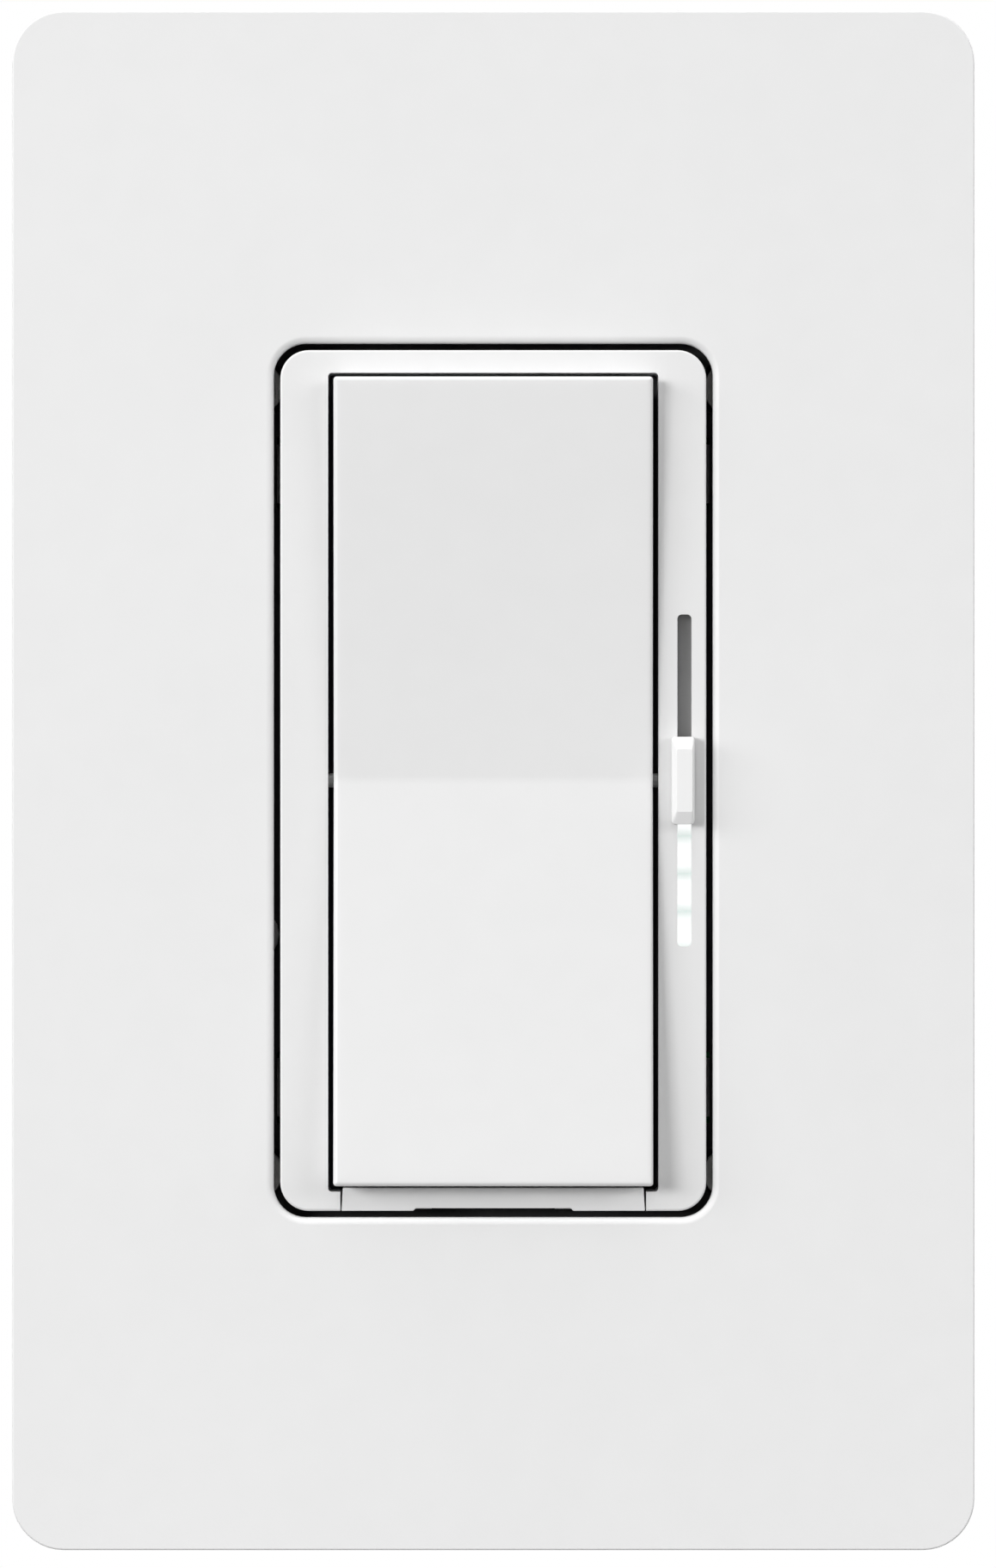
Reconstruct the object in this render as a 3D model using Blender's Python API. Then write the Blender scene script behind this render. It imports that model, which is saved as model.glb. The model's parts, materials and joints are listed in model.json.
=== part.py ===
"""Wall-box slide dimmer with a rocker paddle, a screwless wall plate and its electronics.

The frame: X to the right, Z up, the front faces -Y.  The plane y = 0 is the wall surface, where
the yoke ears and the rim of the wall plate rest.  The origin is the centre of the device.
Dimensions are written in millimetres, and every mesh is scaled to metres as it is made.
"""

import math

import bmesh
import bpy
from mathutils import Matrix, Vector

MM = 0.001

# Wall plate cover, and the frame it snaps onto
COVER_WIDTH = 74.6
COVER_HEIGHT = 119.3
COVER_CORNER = 4.0
COVER_FRONT = -7.6
COVER_FACE = 1.8
COVER_WALL = 1.6
COVER_EDGE = 0.9
OPENING_WIDTH = 34.05
OPENING_HEIGHT = 67.8
OPENING_CORNER = 2.5
ADAPTER_FRONT = -3.3
ADAPTER_BACK = -2.0
ADAPTER_INSET = 3.6
SNAP_Z = 30.0

# Metal yoke
YOKE_FRONT = -1.6
YOKE_BACK = 0.0
YOKE_WIDTH = 45.0
YOKE_WAIST = 35.5
EAR_WIDTH = 34.0
EAR_END = 52.4
MOUNT_Z = 41.65
PLATE_SCREW_Z = 48.4
GROUND_X = -12.5
GROUND_Z = -39.0

# Bezel, the white face that frames the paddle
BEZEL_WIDTH = 33.0
BEZEL_HEIGHT = 66.7
BEZEL_CORNER = 2.2
BEZEL_FRONT = -7.8
BEZEL_BACK = -1.9
BEZEL_EDGE = 0.35
WELL_WIDTH = 25.6
WELL_TOP = 31.6
WELL_BOTTOM = -31.87
WELL_WALL = 0.5
BEZEL_SKIN = 0.6
SNAP_LEG_Z = 24.0

# Rocker paddle
PADDLE_WIDTH = 24.7
PADDLE_TOP = 31.16
PADDLE_BOTTOM = -31.41
PADDLE_CREASE = -8.55
PADDLE_BACK = -5.0
PADDLE_FACE_TILT = math.radians(3.8)
PADDLE_REST_TILT = math.radians(1.0)
PADDLE_SKIN = 1.4
PADDLE_SIDE = 1.1
PADDLE_END_DRAFT = math.tan(math.radians(5.0))
HINGE_Y = -5.6
TRUNNION_RADIUS = 0.54
TRUNNION_REACH = 13.15

# Slider
SLOT_X = 14.82
SLOT_WIDTH = 1.1
SLOT_HALF = 12.87
KNOB_X = 14.7
KNOB_WIDTH = 1.8
KNOB_HEIGHT = 6.8
KNOB_FRONT = -9.7
KNOB_BACK = -8.0
CARRIAGE_FRONT = -6.2
CARRIAGE_BACK = -5.6
SHUTTER_TOP = 22.6
LEVER_X = 13.7
LEVER_HALF_WIDTH = 0.25

# Service switch tab under the paddle
TAB_HALF_WIDTH = 11.65
TAB_TOP = -31.57
TAB_FRONT = -7.7
TAB_GAP = 0.2
TAB_NOTCH_HALF = 6.1
TAB_NOTCH_DEPTH = 0.2
STEM_HALF_WIDTH = 4.5

# Rear housing and what it holds
HOUSING_HALF_WIDTH = 22.3
HOUSING_HALF_HEIGHT = 35.0
HOUSING_FRONT = 0.3
HOUSING_BACK = 30.3
HOUSING_WALL = 1.5
HOUSING_SCREW_X = 18.4
HOUSING_SCREW_Z = 30.6
BOARD_FRONT = 14.2
BOARD_BACK = 15.8
SEESAW_Y = 7.0
SEESAW_REST_TILT = math.radians(7.0)
CONTACT_Z = 7.6
TRIAC_X = -7.5
TRIAC_BASE_Z = 14.2
TRIAC_SCREW_Z = TRIAC_BASE_Z + 12.8
TRIM_X = -18.9
TRIM_Z = -12.0
LEAD_EXIT_Z = 28.4
LEAD_EXITS_X = (-10.0, 0.0, 10.0)
CLEARANCE = 0.3


# ---------------------------------------------------------------- helpers


def clear_scene():
    for old in list(bpy.data.objects):
        bpy.data.objects.remove(old)


def finish(name, colour, roughness, metallic=0.0):
    """A Principled BSDF material."""
    material = bpy.data.materials.new(name)
    material.use_nodes = True
    shader = material.node_tree.nodes["Principled BSDF"]
    shader.inputs["Base Color"].default_value = (*colour, 1.0)
    shader.inputs["Roughness"].default_value = roughness
    shader.inputs["Metallic"].default_value = metallic
    material.diffuse_color = (*colour, 1.0)
    return material


def loft(rings):
    """A closed solid through rings with the same number of points, capped at both ends."""
    bm = bmesh.new()
    rows = [[bm.verts.new(point) for point in ring] for ring in rings]
    bm.faces.new(rows[0])
    bm.faces.new(rows[-1])
    for lower, upper in zip(rows, rows[1:]):
        for i in range(len(lower)):
            j = (i + 1) % len(lower)
            bm.faces.new((lower[i], lower[j], upper[j], upper[i]))
    bmesh.ops.recalc_face_normals(bm, faces=bm.faces)
    return bm


def rounded_rect(width, height, radius, steps=5, x=0.0, z=0.0):
    """The (x, z) outline of a rectangle whose corners are quarter circles."""
    outline = []
    for corner, (sx, sz) in enumerate(((1, 1), (-1, 1), (-1, -1), (1, -1))):
        for i in range(steps + 1):
            angle = (corner + i / steps) * math.pi / 2
            cx = x + sx * (width / 2 - radius)
            cz = z + sz * (height / 2 - radius)
            outline.append((cx + radius * math.cos(angle), cz + radius * math.sin(angle)))
    return outline


def prism(outline, y_front, y_back):
    """An (x, z) outline drawn out along Y."""
    return loft([[(x, y, z) for x, z in outline] for y in (y_front, y_back)])


def side_prism(outline, x_left, x_right):
    """A (y, z) outline drawn out along X."""
    return loft([[(x, y, z) for y, z in outline] for x in (x_left, x_right)])


def block(x, y, z):
    """A box between the two ends given for each axis."""
    outline = [(x[0], z[0]), (x[1], z[0]), (x[1], z[1]), (x[0], z[1])]
    return prism(outline, *y)


def eased_slab(width, height, radius, y_front, y_back, edge, steps=3):
    """A rounded rectangle along Y whose front rim is rounded over by edge."""
    rings = []
    for i in range(steps + 1):
        angle = i / steps * math.pi / 2
        inset = edge * (1 - math.sin(angle))
        y = y_front + edge * (1 - math.cos(angle))
        outline = rounded_rect(width - 2 * inset, height - 2 * inset, radius - inset)
        rings.append([(px, y, pz) for px, pz in outline])
    rings.append([(px, y_back, pz) for px, pz in rounded_rect(width, height, radius)])
    return loft(rings)


def turned(profile, x=0.0, z=0.0, sides=20):
    """A turned piece about a Y line through (x, z), from (y, radius) pairs."""
    rings = []
    for y, radius in profile:
        ring = []
        for i in range(sides):
            angle = 2 * math.pi * i / sides
            ring.append((x + radius * math.cos(angle), y, z + radius * math.sin(angle)))
        rings.append(ring)
    return loft(rings)


def laid_along_z(profile, x, y, sides=16):
    """A turned piece about a Z line through (x, y), from (z, radius) pairs."""
    rings = []
    for z, radius in profile:
        ring = []
        for i in range(sides):
            angle = 2 * math.pi * i / sides
            ring.append((x + radius * math.cos(angle), y + radius * math.sin(angle), z))
        rings.append(ring)
    return loft(rings)


def laid_along_x(profile, y, z, sides=14):
    """A turned piece about an X line through (y, z), from (x, radius) pairs."""
    rings = []
    for x, radius in profile:
        ring = []
        for i in range(sides):
            angle = 2 * math.pi * i / sides
            ring.append((x, y + radius * math.cos(angle), z + radius * math.sin(angle)))
        rings.append(ring)
    return loft(rings)


def wire(path, radius, sides=6):
    """A round wire along a list of (centre, sideways direction) pairs."""
    rings = []
    centres = [Vector(centre) for centre, _ in path]
    for i, (_, sideways) in enumerate(path):
        ahead = centres[min(i + 1, len(path) - 1)] - centres[max(i - 1, 0)]
        across = Vector(sideways).normalized()
        up = ahead.normalized().cross(across)
        ring = []
        for k in range(sides):
            angle = 2 * math.pi * k / sides
            ring.append(centres[i] + radius * (math.cos(angle) * across + math.sin(angle) * up))
        rings.append(ring)
    return loft(rings)


def add_object(name, bm):
    """Turns a bmesh in millimetres into an object in metres."""
    bmesh.ops.transform(bm, matrix=Matrix.Scale(MM, 4), verts=bm.verts)
    mesh = bpy.data.meshes.new(name)
    bm.to_mesh(mesh)
    bm.free()
    obj = bpy.data.objects.new(name, mesh)
    bpy.context.scene.collection.objects.link(obj)
    return obj


def piece(name, bm, material, smooth=False):
    obj = add_object(name, bm)
    obj.data.materials.append(material)
    if smooth:
        obj.data.shade_smooth()
        obj.data.set_sharp_from_angle(angle=math.radians(35))
    return obj


def combine(target, operation, *tools):
    """Adds a live Boolean for each tool, which is kept as a wire helper under the target."""
    for tool in tools:
        helper = add_object(f"{target.name}_{operation.lower()}", tool)
        helper.parent = target
        helper.hide_render = True
        helper.display_type = "WIRE"
        modifier = target.modifiers.new(helper.name, "BOOLEAN")
        modifier.operation = operation
        modifier.object = helper
        modifier.solver = "EXACT"


def cut(target, *tools):
    combine(target, "DIFFERENCE", *tools)


def fuse(target, *tools):
    combine(target, "UNION", *tools)


def place(obj, location, tilt_x=0.0):
    obj.location = Vector(location) * MM
    obj.rotation_euler.x = tilt_x


def screw(name, material, x, z, head, shank, recess=0.6):
    """A cross-recessed screw along Y.  head and shank are lists of (y, radius) pairs."""
    obj = piece(name, turned(head + shank, x, z), material, smooth=True)
    front = head[0][0]
    arm = head[1][1] * 0.5
    half = arm * 0.22
    deep = (front - 1.0, front + recess)
    cut(obj, block((x - arm, x + arm), deep, (z - half, z + half)))
    cut(obj, block((x - half, x + half), deep, (z - arm, z + arm)))


# ---------------------------------------------------------------- wall plate


def make_cover(white):
    cover = piece(
        "wallplate_cover",
        eased_slab(COVER_WIDTH, COVER_HEIGHT, COVER_CORNER, COVER_FRONT, 0.0, COVER_EDGE),
        white,
        smooth=True,
    )
    inner_width = COVER_WIDTH - 2 * COVER_WALL
    inner_height = COVER_HEIGHT - 2 * COVER_WALL
    inner = rounded_rect(inner_width, inner_height, COVER_CORNER - COVER_WALL)
    opening = rounded_rect(OPENING_WIDTH, OPENING_HEIGHT, OPENING_CORNER)
    pry_slot = block((-3.5, 3.5), (-1.5, 1.0), (-COVER_HEIGHT / 2 - 1.0, -COVER_HEIGHT / 2 + 2.2))
    cut(cover, prism(inner, COVER_FRONT + COVER_FACE, 1.0))
    cut(cover, prism(opening, COVER_FRONT - 1.0, 1.0))
    cut(cover, pry_slot)
    for side in (-1, 1):
        wall = side * inner_width / 2
        for z in (-SNAP_Z, SNAP_Z):
            rib = [(-4.0, wall + side * 0.2), (-3.4, wall - side * 0.7), (-2.7, wall - side * 0.7),
                   (-2.7, wall + side * 0.2)]
            fuse(cover, loft([[(x, y, z + dz) for y, x in rib] for dz in (-5.0, 5.0)]))


def make_adapter(white):
    width = COVER_WIDTH - 2 * ADAPTER_INSET + 1.6
    height = COVER_HEIGHT - 2 * ADAPTER_INSET + 1.6
    adapter = piece(
        "wallplate_adapter",
        prism(rounded_rect(width, height, 2.6), ADAPTER_FRONT, -CLEARANCE),
        white,
    )
    under = rounded_rect(width - 2.8, height - 2.8, 1.6)
    cut(adapter, prism(under, ADAPTER_BACK, 1.0))
    cut(adapter, prism(rounded_rect(35.4, 69.0, 2.6), -6.0, 1.0))
    for end in (-1, 1):
        relief = rounded_rect(12.0, 14.0, 3.0, x=0.0, z=end * 38.3)
        cut(adapter, prism(relief, -6.0, 1.0))
        cut(adapter, turned([(-6.0, 1.9), (1.0, 1.9)], 0.0, end * PLATE_SCREW_Z, 16))
    cut(adapter, turned([(-6.0, 2.8), (1.0, 2.8)], TRIM_X, TRIM_Z, 18))
    for side in (-1, 1):
        rib = block((side * 25.0 - 0.6, side * 25.0 + 0.6), (-4.6, -3.0), (-44.0, 44.0))
        fuse(adapter, rib)
        edge = side * width / 2
        for z in (-SNAP_Z, SNAP_Z):
            hook = [(-2.4, edge - side * 0.4), (-2.4, edge + side * 0.65), (-1.9, edge + side * 0.65),
                    (-0.9, edge - side * 0.4)]
            fuse(adapter, loft([[(x, y, z + dz) for y, x in hook] for dz in (-4.6, 4.6)]))


def make_adapter_screws(steel):
    for name, end in (("adapter_screw_upper", 1), ("adapter_screw_lower", -1)):
        head = [(-5.3, 1.6), (-5.0, 2.7), (-4.4, 2.9), (-3.6, 2.9)]
        shank = [(-3.6, 1.55), (6.5, 1.55), (7.2, 0.9)]
        screw(name, steel, 0.0, end * PLATE_SCREW_Z, head, shank)


# ---------------------------------------------------------------- yoke and its screws


def yoke_outline():
    """Half of the yoke from the waist to the ear end, mirrored into a closed outline."""
    shoulder = 3.0
    top = [
        (YOKE_WIDTH / 2, -YOKE_WAIST + 1.0),
        (YOKE_WIDTH / 2, YOKE_WAIST - 1.0),
        (YOKE_WIDTH / 2 - 1.0, YOKE_WAIST),
        (EAR_WIDTH / 2 + shoulder, YOKE_WAIST),
    ]
    corner = 3.0
    for i in range(6):
        angle = i / 5 * math.pi / 2
        top.append((
            EAR_WIDTH / 2 - corner + corner * math.cos(angle),
            EAR_END - corner + corner * math.sin(angle),
        ))
    right = [(x, -z) for x, z in reversed(top[1:])] + top[1:]
    return right + [(-x, z) for x, z in reversed(right)]


def make_yoke(black_metal):
    yoke = piece("yoke", prism(yoke_outline(), YOKE_FRONT, YOKE_BACK), black_metal)
    through = (-3.0, 2.0)
    cut(yoke, block((-4.6, 4.6), through, (-4.6, 4.6)))
    cut(yoke, block((LEVER_X - 0.55, LEVER_X + 0.55), through, (-11.0, 11.0)))
    cut(yoke, block((13.95, 15.9), through, (-19.3, -16.9)))
    cut(yoke, block((-5.0, 5.0), through, (-33.35, -31.85)))
    cut(yoke, turned([(-3.0, 1.5), (2.0, 1.5)], TRIM_X, TRIM_Z, 14))
    cut(yoke, turned([(-3.0, 1.6), (2.0, 1.6)], TRIAC_X, TRIAC_SCREW_Z, 14))
    sunk = [(-3.0, 2.8), (-0.8, 2.8), (-0.8, 1.5), (2.0, 1.5)]
    cut(yoke, turned(sunk, GROUND_X, GROUND_Z, 14))
    for end in (-1, 1):
        slot = rounded_rect(7.6, 4.4, 2.2, x=0.0, z=end * MOUNT_Z)
        cut(yoke, prism(slot, *through))
        cut(yoke, turned([(-3.0, 1.8), (2.0, 1.8)], 0.0, end * PLATE_SCREW_Z, 16))
        for side in (-1, 1):
            cut(yoke, block(sorted((side * 14.9, side * 16.9)), through,
                            (end * SNAP_LEG_Z - 2.8, end * SNAP_LEG_Z + 2.8)))
            sink = [(-3.0, 3.8), (-1.6, 2.4), (-0.6, 1.4), (2.0, 1.4)]
            cut(yoke, turned(sink, side * HOUSING_SCREW_X, end * HOUSING_SCREW_Z, 16))
            cut(yoke, turned([(-3.0, 1.3), (2.0, 1.3)], side * 12.5, end * MOUNT_Z, 12))


def make_mounting_screws(steel, fibre):
    for name, end in (("upper", 1), ("lower", -1)):
        z = end * MOUNT_Z
        head = [(-3.9, 1.7), (-3.6, 2.8), (-2.9, 3.2), (-1.9, 3.2)]
        shank = [(-1.9, 1.7), (20.5, 1.7), (21.6, 0.9)]
        screw("mounting_screw_" + name, steel, 0.0, z, head, shank, recess=0.8)
        washer = piece(
            "screw_retainer_" + name,
            prism(rounded_rect(9.0, 9.0, 1.5, x=0.0, z=z), 0.3, 0.9),
            fibre,
        )
        cut(washer, turned([(-1.0, 1.9), (2.0, 1.9)], 0.0, z, 16))


def make_ground_terminal(brass, green):
    """The riveted lug where the earth lead leaves the yoke."""
    x, z = GROUND_X, GROUND_Z
    lug = piece("ground_lug", prism(rounded_rect(6.4, 11.0, 2.4, x=x, z=z - 1.8), 0.3, 1.1), brass)
    cut(lug, turned([(-1.0, 1.5), (3.0, 1.5)], x, z, 14))
    barrel = turned([(0.9, 1.7), (1.5, 1.9), (5.5, 1.9)], x, z - 5.0, 14)
    fuse(lug, barrel)
    cut(lug, turned([(2.0, 1.2), (7.0, 1.2)], x, z - 5.0, 12))
    rivet = [(-1.6, 1.6), (-1.4, 2.4), (-1.1, 2.4), (-1.1, 1.3), (1.4, 1.3), (1.4, 2.1), (1.9, 1.6)]
    piece("ground_rivet", turned(rivet, x, z, 14), green, smooth=True)


# ---------------------------------------------------------------- bezel


def make_bezel(white):
    bezel = piece(
        "bezel",
        eased_slab(BEZEL_WIDTH, BEZEL_HEIGHT, BEZEL_CORNER, BEZEL_FRONT, BEZEL_BACK, BEZEL_EDGE),
        white,
        smooth=True,
    )
    rear = 1.0
    ahead = BEZEL_FRONT - 3.0
    half = WELL_WIDTH / 2
    inner = half + WELL_WALL
    outer = BEZEL_WIDTH / 2 - BEZEL_SKIN
    cut(bezel, block((-half, half), (ahead, rear), (WELL_BOTTOM, WELL_TOP)))
    cut(bezel, block((-outer, -inner), (-6.5, rear), (-31.8, 31.8)))
    cut(bezel, block((inner, outer), (-6.5, rear), (-31.8, 32.75)))
    slot = rounded_rect(SLOT_WIDTH, 2 * SLOT_HALF, 0.3, 3, x=SLOT_X)
    cut(bezel, prism(slot, ahead, -5.0))
    tab_half = TAB_HALF_WIDTH + TAB_GAP
    cut(bezel, block((-tab_half, tab_half), (ahead, -3.9), (-35.0, WELL_BOTTOM + 0.5)))
    fuse(bezel, block((-half - 0.3, half + 0.3), (-3.4, BEZEL_BACK), (-32.4, -30.2)))
    cut(bezel, block((-STEM_HALF_WIDTH - 0.3, STEM_HALF_WIDTH + 0.3), (-4.5, rear), (-35.0, -31.95)))
    for side in (-1, 1):
        bearing = [(side * (half - 1.0), 0.75), (side * (inner + 0.2), 0.75)]
        cut(bezel, laid_along_x(bearing, HINGE_Y, 0.0))
        cut(bezel, block(sorted((side * (half - 1.0), side * (inner + 0.2))), (HINGE_Y, rear), (-0.6, 0.6)))
        for end in (-1, 1):
            z = end * SNAP_LEG_Z
            wall = side * (BEZEL_WIDTH / 2 - 0.05)
            leg = [(wall, -2.6), (wall, 0.35), (wall + side * 0.75, 0.35), (wall - side * 0.1, 1.5),
                   (wall - side * 1.1, 1.5), (wall - side * 1.1, -2.6)]
            fuse(bezel, loft([[(x, y, z + dz) for x, y in leg] for dz in (-2.3, 2.3)]))


# ---------------------------------------------------------------- paddle


def paddle_profile(skin, shrink, back):
    """The (y, z) outline of the paddle, its front face set back by skin and its ends by shrink."""
    crease = PADDLE_CREASE + skin
    slope = math.tan(PADDLE_FACE_TILT)
    outline = [(crease, 0.0)]
    for end in (PADDLE_BOTTOM, PADDLE_TOP):
        direction = 1 if end > 0 else -1
        z_front = end - direction * shrink
        y_front = crease - abs(z_front) * slope
        z_back = z_front - direction * (back - y_front) * PADDLE_END_DRAFT
        corners = [(y_front, z_front), (back, z_back)]
        outline += corners if end == PADDLE_BOTTOM else corners[::-1]
    return [(y - HINGE_Y, z) for y, z in outline]


def make_paddle(white, steel, brass_dark):
    """Built square to the yoke about the trunnion line, then rocked to rest."""
    half = PADDLE_WIDTH / 2
    paddle = piece("paddle", side_prism(paddle_profile(0.0, 0.0, PADDLE_BACK), -half, half), white)
    hollow = paddle_profile(PADDLE_SKIN, 1.2, PADDLE_BACK + 2.0)
    cut(paddle, side_prism(hollow, -half + PADDLE_SIDE, half - PADDLE_SIDE))
    inside = half - PADDLE_SIDE + 0.3
    fuse(paddle, block((-inside, inside), (PADDLE_CREASE + 0.8 - HINGE_Y, 0.5), (-0.7, 0.7)))
    fuse(paddle, turned([(-2.2, 2.8), (3.6, 2.8), (7.0, 2.5)], 0.0, 0.0, 24))
    cut(paddle, turned([(0.9, 1.7), (9.0, 1.7)], 0.0, 0.0, 18))
    for side in (-1, 1):
        stub = [(side * (half - 0.8), TRUNNION_RADIUS), (side * TRUNNION_REACH, TRUNNION_RADIUS)]
        fuse(paddle, laid_along_x(stub, 0.0, 0.0))
        fuse(paddle, block((-inside, inside), (-3.2, 0.2), (side * 16.0 - 0.5, side * 16.0 + 0.5)))
    pivot = (0.0, HINGE_Y, 0.0)
    place(paddle, pivot, -PADDLE_REST_TILT)

    plunger_profile = [(5.8, 1.0), (5.8, 1.45), (10.0, 1.45), (10.7, 1.1), (11.0, 0.5)]
    plunger = piece("switch_plunger", turned(plunger_profile, sides=16), brass_dark, smooth=True)
    place(plunger, pivot, -PADDLE_REST_TILT)

    turns, points_per_turn = 5, 10
    path = []
    for i in range(turns * points_per_turn + 1):
        angle = 2 * math.pi * i / points_per_turn
        y = 1.5 + 3.7 * i / (turns * points_per_turn)
        outward = (math.cos(angle), 0.0, math.sin(angle))
        path.append(((1.2 * outward[0], y, 1.2 * outward[2]), outward))
    spring = piece("switch_spring", wire(path, 0.18, 5), steel)
    place(spring, pivot, -PADDLE_REST_TILT)


# ---------------------------------------------------------------- slider


def make_slider(white, grey, black):
    knob_rings = []
    sections = (
        (KNOB_BACK, KNOB_WIDTH, KNOB_HEIGHT),
        (-8.6, 1.7, 6.6),
        (-9.4, 1.35, 5.6),
        (KNOB_FRONT, 1.1, 5.2),
    )
    for y, width, height in sections:
        outline = rounded_rect(width, height, 0.22, 2, x=KNOB_X)
        knob_rings.append([(x, y, z) for x, z in outline])
    knob = piece("slider_knob", loft(knob_rings), white)
    cut(knob, block((14.4, 15.1), (-8.95, -7.0), (-2.35, 2.35)))

    carriage = piece(
        "slider_carriage",
        block((13.5, 15.7), (CARRIAGE_FRONT, CARRIAGE_BACK), (-3.1, SHUTTER_TOP)),
        grey,
    )
    fuse(carriage, block((14.5, 15.0), (-8.8, CARRIAGE_FRONT + 0.2), (-2.2, 2.2)))
    for side in (-1, 1):
        tine = sorted((side * 1.15, side * 1.8))
        fuse(carriage, block((13.5, 13.95), (CARRIAGE_BACK - 0.2, -4.4), tine))

    lever = piece(
        "potentiometer_wiper",
        block((LEVER_X - LEVER_HALF_WIDTH, LEVER_X + LEVER_HALF_WIDTH), (-5.2, 3.0), (-1.0, 1.0)),
        black,
    )
    fuse(lever, block((12.3, 15.1), (2.6, 5.2), (-2.2, 2.2)))


def make_light_guide(clear):
    bar = block((14.25, 15.6), (-5.3, -4.1), (-19.0, 13.4))
    guide = piece("light_guide", bar, clear)
    fuse(guide, block((14.25, 15.6), (-4.6, 11.4), (-19.0, -17.2)))
    for i in range(1, 5):
        z = 13.4 - i * 5.4
        notch = [(15.3, z - 0.35), (15.8, z - 0.6), (15.8, z + 0.6), (15.3, z + 0.35)]
        cut(guide, prism(notch, -6.0, -3.0))


def make_potentiometer(black, brown):
    body = piece("potentiometer_housing", block((11.3, 16.1), (0.6, 7.2), (-16.0, 16.0)), black)
    cut(body, block((12.0, 15.4), (1.6, 6.6), (-15.2, 15.2)))
    cut(body, block((LEVER_X - 0.5, LEVER_X + 0.5), (0.0, 2.0), (-11.0, 11.0)))
    track = piece("potentiometer_track", block((12.25, 15.15), (5.5, 6.3), (-14.8, 14.8)), brown)
    for x in (13.0, 14.4):
        cut(track, block((x - 0.25, x + 0.25), (5.3, 5.6), (-12.5, 12.5)))


# ---------------------------------------------------------------- service switch


def make_service_tab(white):
    bottom = -BEZEL_HEIGHT / 2
    tab = piece(
        "service_tab",
        block((-TAB_HALF_WIDTH, TAB_HALF_WIDTH), (TAB_FRONT, -4.2), (bottom, TAB_TOP)),
        white,
    )
    fuse(tab, block((-STEM_HALF_WIDTH, STEM_HALF_WIDTH), (-4.6, 4.5), (-33.0, -32.2)))
    notch = block(
        (-TAB_NOTCH_HALF, TAB_NOTCH_HALF), (TAB_FRONT - 1.0, -3.0), (bottom - 1.0, bottom + TAB_NOTCH_DEPTH)
    )
    cut(tab, notch)


def make_service_contacts(brass, copper):
    leaf = [(4.8, -33.1), (5.1, -33.1), (5.1, -24.6), (13.9, -24.6), (13.9, -24.2), (4.8, -24.2)]
    piece("service_contact_leaf", side_prism(leaf, -4.0, 4.0), copper)
    fixed = [(5.9, -33.1), (6.5, -33.1), (6.5, -28.4), (13.9, -28.4), (13.9, -27.8), (5.9, -27.8)]
    anvil = piece("service_contact_anvil", side_prism(fixed, -3.0, 3.0), brass)
    fuse(anvil, turned([(5.4, 1.0), (6.1, 1.2)], 0.0, -31.0, 12))


# ---------------------------------------------------------------- switch


def make_switch(black, brass, copper):
    case = piece("switch_housing", block((-6.6, 6.6), (0.6, 13.3), (-11.6, 11.6)), black)
    cut(case, block((-5.3, 5.3), (-1.0, 11.7), (-10.3, 10.3)))
    for z in (-CONTACT_Z, 0.0, CONTACT_Z):
        cut(case, block((-2.9, 2.9), (11.0, 14.0), (z - 0.7, z + 0.7)))

    arm = math.tan(math.radians(5.0)) * 9.0
    vee = [(-0.4, 0.0), (-0.4 - arm, 9.0), (0.4 - arm, 9.0), (0.4, 0.0), (0.4 - arm, -9.0), (-0.4 - arm, -9.0)]
    seesaw = piece("switch_seesaw", side_prism(vee, -3.0, 3.0), brass)
    for end in (-1, 1):
        fuse(seesaw, turned([(-0.7, 1.3), (0.3, 1.1)], 0.0, end * CONTACT_Z, 12))
    place(seesaw, (0.0, SEESAW_Y, 0.0), SEESAW_REST_TILT)

    for name, z in (("contact_upper", CONTACT_Z), ("contact_lower", -CONTACT_Z)):
        contact = piece(name, block((-2.4, 2.4), (9.2, 9.8), (z - 1.4, z + 1.4)), copper)
        fuse(contact, block((-2.4, 2.4), (9.5, 13.9), (z - 0.4, z + 0.4)))
        fuse(contact, turned([(8.8, 1.0), (9.4, 1.2)], 0.0, z, 12))
    fulcrum = piece("centre_terminal", block((-2.4, 2.4), (7.8, 13.9), (-0.4, 0.4)), copper)
    fuse(fulcrum, block((-2.4, 2.4), (10.4, 11.2), (-2.4, 2.4)))


# ---------------------------------------------------------------- electronics


def make_board(green):
    board = piece("circuit_board", block((-20.4, 20.4), (BOARD_FRONT, BOARD_BACK), (-33.1, 33.1)), green)
    for sx in (-1, 1):
        for sz in (-1, 1):
            cut(board, block(sorted((sx * 15.7, sx * 22.0)), (13.0, 17.0), sorted((sz * 27.7, sz * 35.0))))


def make_triac(black, steel, pale, brass):
    x, z = TRIAC_X, TRIAC_BASE_Z
    wide = (x - 5.0, x + 5.0)
    hole = [(-1.0, 1.8), (8.0, 1.8)]
    insulator = piece("triac_insulator", block((x - 5.6, x + 5.6), (0.3, 0.6), (z - 0.8, z + 16.8)), pale)
    cut(insulator, turned(hole, x, TRIAC_SCREW_Z, 14))
    tab = piece("triac_tab", block(wide, (0.9, 2.2), (z + 0.4, z + 16.2)), steel)
    cut(tab, turned(hole, x, TRIAC_SCREW_Z, 14))
    body = piece("triac_body", block(wide, (2.5, 5.6), (z, z + 9.2)), black)
    cut(body, turned([(5.2, 1.0), (6.5, 1.0)], x + 3.4, z + 7.6, 12))
    head = [(-3.1, 1.3), (-2.9, 2.3), (-1.9, 2.6)]
    shank = [(-1.9, 1.3), (4.6, 1.3), (5.0, 0.8)]
    screw("triac_screw", steel, x, TRIAC_SCREW_Z, head, shank, recess=0.5)
    for i, dx in enumerate((-2.54, 0.0, 2.54)):
        leg = [(3.0, z - 0.3), (3.0, z - 2.2), (13.9, z - 2.2), (13.9, z - 1.6), (3.6, z - 1.6), (3.6, z - 0.3)]
        piece(f"triac_lead_{i + 1}", side_prism(leg, x + dx - 0.4, x + dx + 0.4), brass)


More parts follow.
